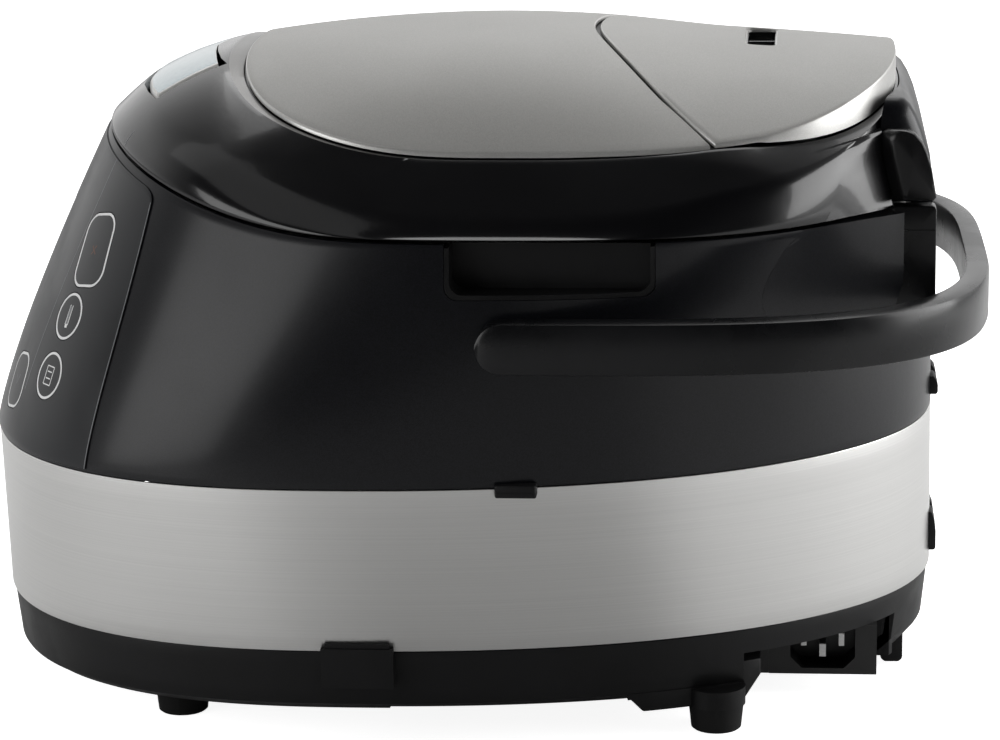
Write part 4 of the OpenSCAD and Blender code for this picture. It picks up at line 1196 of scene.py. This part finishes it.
def makeLidLines(s):
    # the display field's line runs on over the collar and the front of the lid
    for side, word in hands:
        points, normals = [], []
        angle = math.radians(270 + side * s["lineAway"])
        for k in range(21):
            share = mix(*s["lineShares"], (k / 20) ** 1.5)
            p = rimPoint(angle, share, 0)
            around = rimPoint(angle + 0.01, share, 0) - rimPoint(angle - 0.01, share, 0)
            up = rimPoint(angle, share + 0.004, 0) - rimPoint(angle, max(0, share - 0.004), 0)
            points.append(p)
            normals.append(around.cross(up).normalized())
        ribbon("lidLine" + word, points, normals, 0.4, 0.03, "lid", "lid_gloss", inkAndEdgeHighlight)


makeLidFrame(lidSet)
makeLidPlate(plateSet)
makeSteamCover(coverSet)
makeGrooveBed()
makeLatchButton(latchSet)
makeLidLines(lidSet)
print("lid made")

hingeSet = {
    "y": 162.5, "z": 179, "knuckle": 5, "x": (66, 75), "bracket": (50.5, 65.8), "lidKnuckle": (36, 50),
    "round": 9,
    # outlines as (y, z): the arm's rear edge from the foot up, its front edge down, the tower, the cover
    "armRear": [(166.2, 188.9), (167, 189.8), (166.4, 193), (165.2, 200), (163.2, 206.6), (161.6, 210),
                (159, 213), (155.6, 214.2)],
    "armFront": [(149.4, 214.2), (147.4, 213.2), (146.4, 211), (147.2, 205), (149, 197), (150.6, 190.4),
                 (151, 188.9)],
    "armMiddle": (157.5, 201.5),
    "tower": [(138, 150), (165, 150), (166.6, 151.6), (167, 154), (167, 186), (166.2, 186.9), (152.2, 186.9),
              (151.4, 186.1), (151.4, 184), (138, 184)],
    "cover": [(140, 187), (165.4, 187), (166.4, 188.4), (166.4, 192), (165, 203), (162.4, 212), (160, 217.7),
              (157.6, 221.6), (155.6, 223.4), (153, 224.2), (140, 224.2)],
}


shoulderSet = {
    # fills beside the hinge: shares up the lid or housing, the corner's x, and its y from a height on
    "lid": {"shares": [0, 0.001, 0.004, 0.012, 0.03, 0.06, 0.1, 0.15, 0.21, 0.28, 0.38, 0.5, 0.62],
            "x": 71.8, "y": (150.9, 147.2), "from": 188.9, "run": 16},
    "housing": {"shares": [0.24, 0.32, 0.4, 0.5, 0.6, 0.7, 0.78, 0.86, 0.93, 1],
                "x": 75.05, "y": (134, 155.5), "from": 112, "run": 50},
    "inner": (66.4, 141), "angle": 58,
}


def lidPrism(grow):
    return cappedRings("lidPrism", [ringAt(seamEgg, grow, z, 200) for z in (150, 270)])


def tangentTo(place, share, corner):
    # where a straight line from the corner touches the curved side
    best, touch = None, None
    for k in range(91):
        p = place(math.radians(15 + k * 0.5), share)
        slope = (p.x - corner.x) / (corner.y - p.y)
        if best is None or slope > best:
            best, touch = slope, p
    return touch


def cornerFill(name, place, s, shape):
    # straight walls from the curved side to a corner, whose y is shaped by its height
    rings = []
    inX, inY = shoulderSet["inner"]
    for t in s["shares"]:
        z = place(math.radians(shoulderSet["angle"]), t).z
        c = Vector((s["x"], mix(*s["y"], shape((z - s["from"]) / s["run"])), z))
        p = tangentTo(place, t, c)
        rings.append([p.lerp(c, k / 6) for k in range(7)]
                     + [Vector((inX, c.y, z)), Vector((inX, inY, z)), Vector((p.x - 6, p.y - 4, p.z))])
    return cappedRings(name, rings)


def makeHinge(s):
    y, z, r = s["y"], s["z"], s["knuckle"]
    x0, x1 = s["x"]

    def armRing(x, lead, inset):
        # lead draws the front edge back, inset rounds the whole outline
        points = s["armRear"] + [(py + lead, pz) for py, pz in s["armFront"]]
        cy, cz = s["armMiddle"]
        return [Vector((x, py + (inset if py < cy else -inset), pz + (inset if pz < cz else -inset)))
                for py, pz in points]
    for side, word in hands:
        shoulder = cornerFill("lidShoulder" + word, lambda a, t: rimPoint(a, t, 0), shoulderSet["lid"],
                              lambda h: min(1, h))
        foot = cornerFill("housingShoulder" + word, housingPoint, shoulderSet["housing"], eased)
        armRings = [(x0, 0, 1), (x0 + 1, 0, 0), (x1 - 3.8, 0, 0), (x1 - 1.2, 3.2, 0), (x1 - 0.4, 4, 0.3),
                    (x1, 4.6, 1)]
        arm = cappedRings("hingeArm" + word, [armRing(*values) for values in armRings])
        cutAway(arm, [lidPrism(0.15)])
        tower = extruded("hingeTower" + word, s["tower"], x0, x1, 1.0, 4)
        cutAway(tower, [roundedBox("seamCut", (x1 - 0.5, 140, 178.2), (x1 + 1, 172, 178.8)),
                        roundedBox("seamCut", (x0 - 1, 166.6, 178.2), (x1 + 1, 172, 178.8)),
                        bodyPrism(0.12)])
        b0, b1 = s["bracket"]
        knuckle = cylinderAlong("hingeKnuckle" + word, (b0, y, z), (b1, y, z), r)
        cutAway(knuckle, [roundedBox("bracket", (b0, 141, 166), (b1, y - 0.5, z - 0.8), 0.5)], "UNION")
        cutAway(knuckle, [bodyPrism(0.12), cylinderAlong("pinCut", (b0 - 4, y, z), (b1 + 4, y, z), 2.5, 32)])
        bevelEdges(knuckle, 0.3, 2, 50)
        for piece, body, slot in ((arm, "lid", "hinge_plastic"), (tower, "body", "hinge_plastic"),
                                  (knuckle, "body", "hinge_plastic"), (shoulder, "lid", "lid_gloss"),
                                  (foot, "body", "housing")):
            if side < 0:
                mirrored(piece)
            finishPiece(piece, body, slot)
        if side < 0:
            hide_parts("lid_hinge_arms")
            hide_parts("hinge_towers")


def makeRearCover(s):
    x, y, z = s["x"][0] - 0.4, s["y"], s["z"]

    def coverRing(at, inset):
        k = 1 - inset / 28
        return [Vector((at, mix(140, py, k), mix(187, pz, k))) for py, pz in s["cover"]]
    turns = [math.radians(15 * k) for k in range(7)]
    ends = [(x - s["round"] * (1 - math.sin(t)), s["round"] * (1 - math.cos(t))) for t in turns]
    sections = [(-a, b) for a, b in reversed(ends)] + ends
    cover = cappedRings("rearCover", [coverRing(a, b) for a, b in sections])
    cutAway(cover, [lidPrism(0.15)])
    for side in (1, -1):
        a, b = (side * v for v in s["lidKnuckle"])
        knuckle = cylinderAlong("coverKnuckle", (a, y, z), (b, y, z), s["knuckle"])
        low, high = sorted((a, b))
        neck = roundedBox("coverNeck", (low, y - 4, z + 2), (high, y + 4, 189))
        cutAway(knuckle, [neck], "UNION")
        cutAway(cover, [knuckle], "UNION")
        cutAway(cover, [cylinderAlong("pinCut", (a - side * 3, y, z), (b + side * 3, y, z), 2.55, 32)])
    return finishPiece(cover, "lid", "housing", ["lid_rear_cover"])


makeHinge(hingeSet)
makeRearCover(hingeSet)
print("hinge made")

print("pieces done")
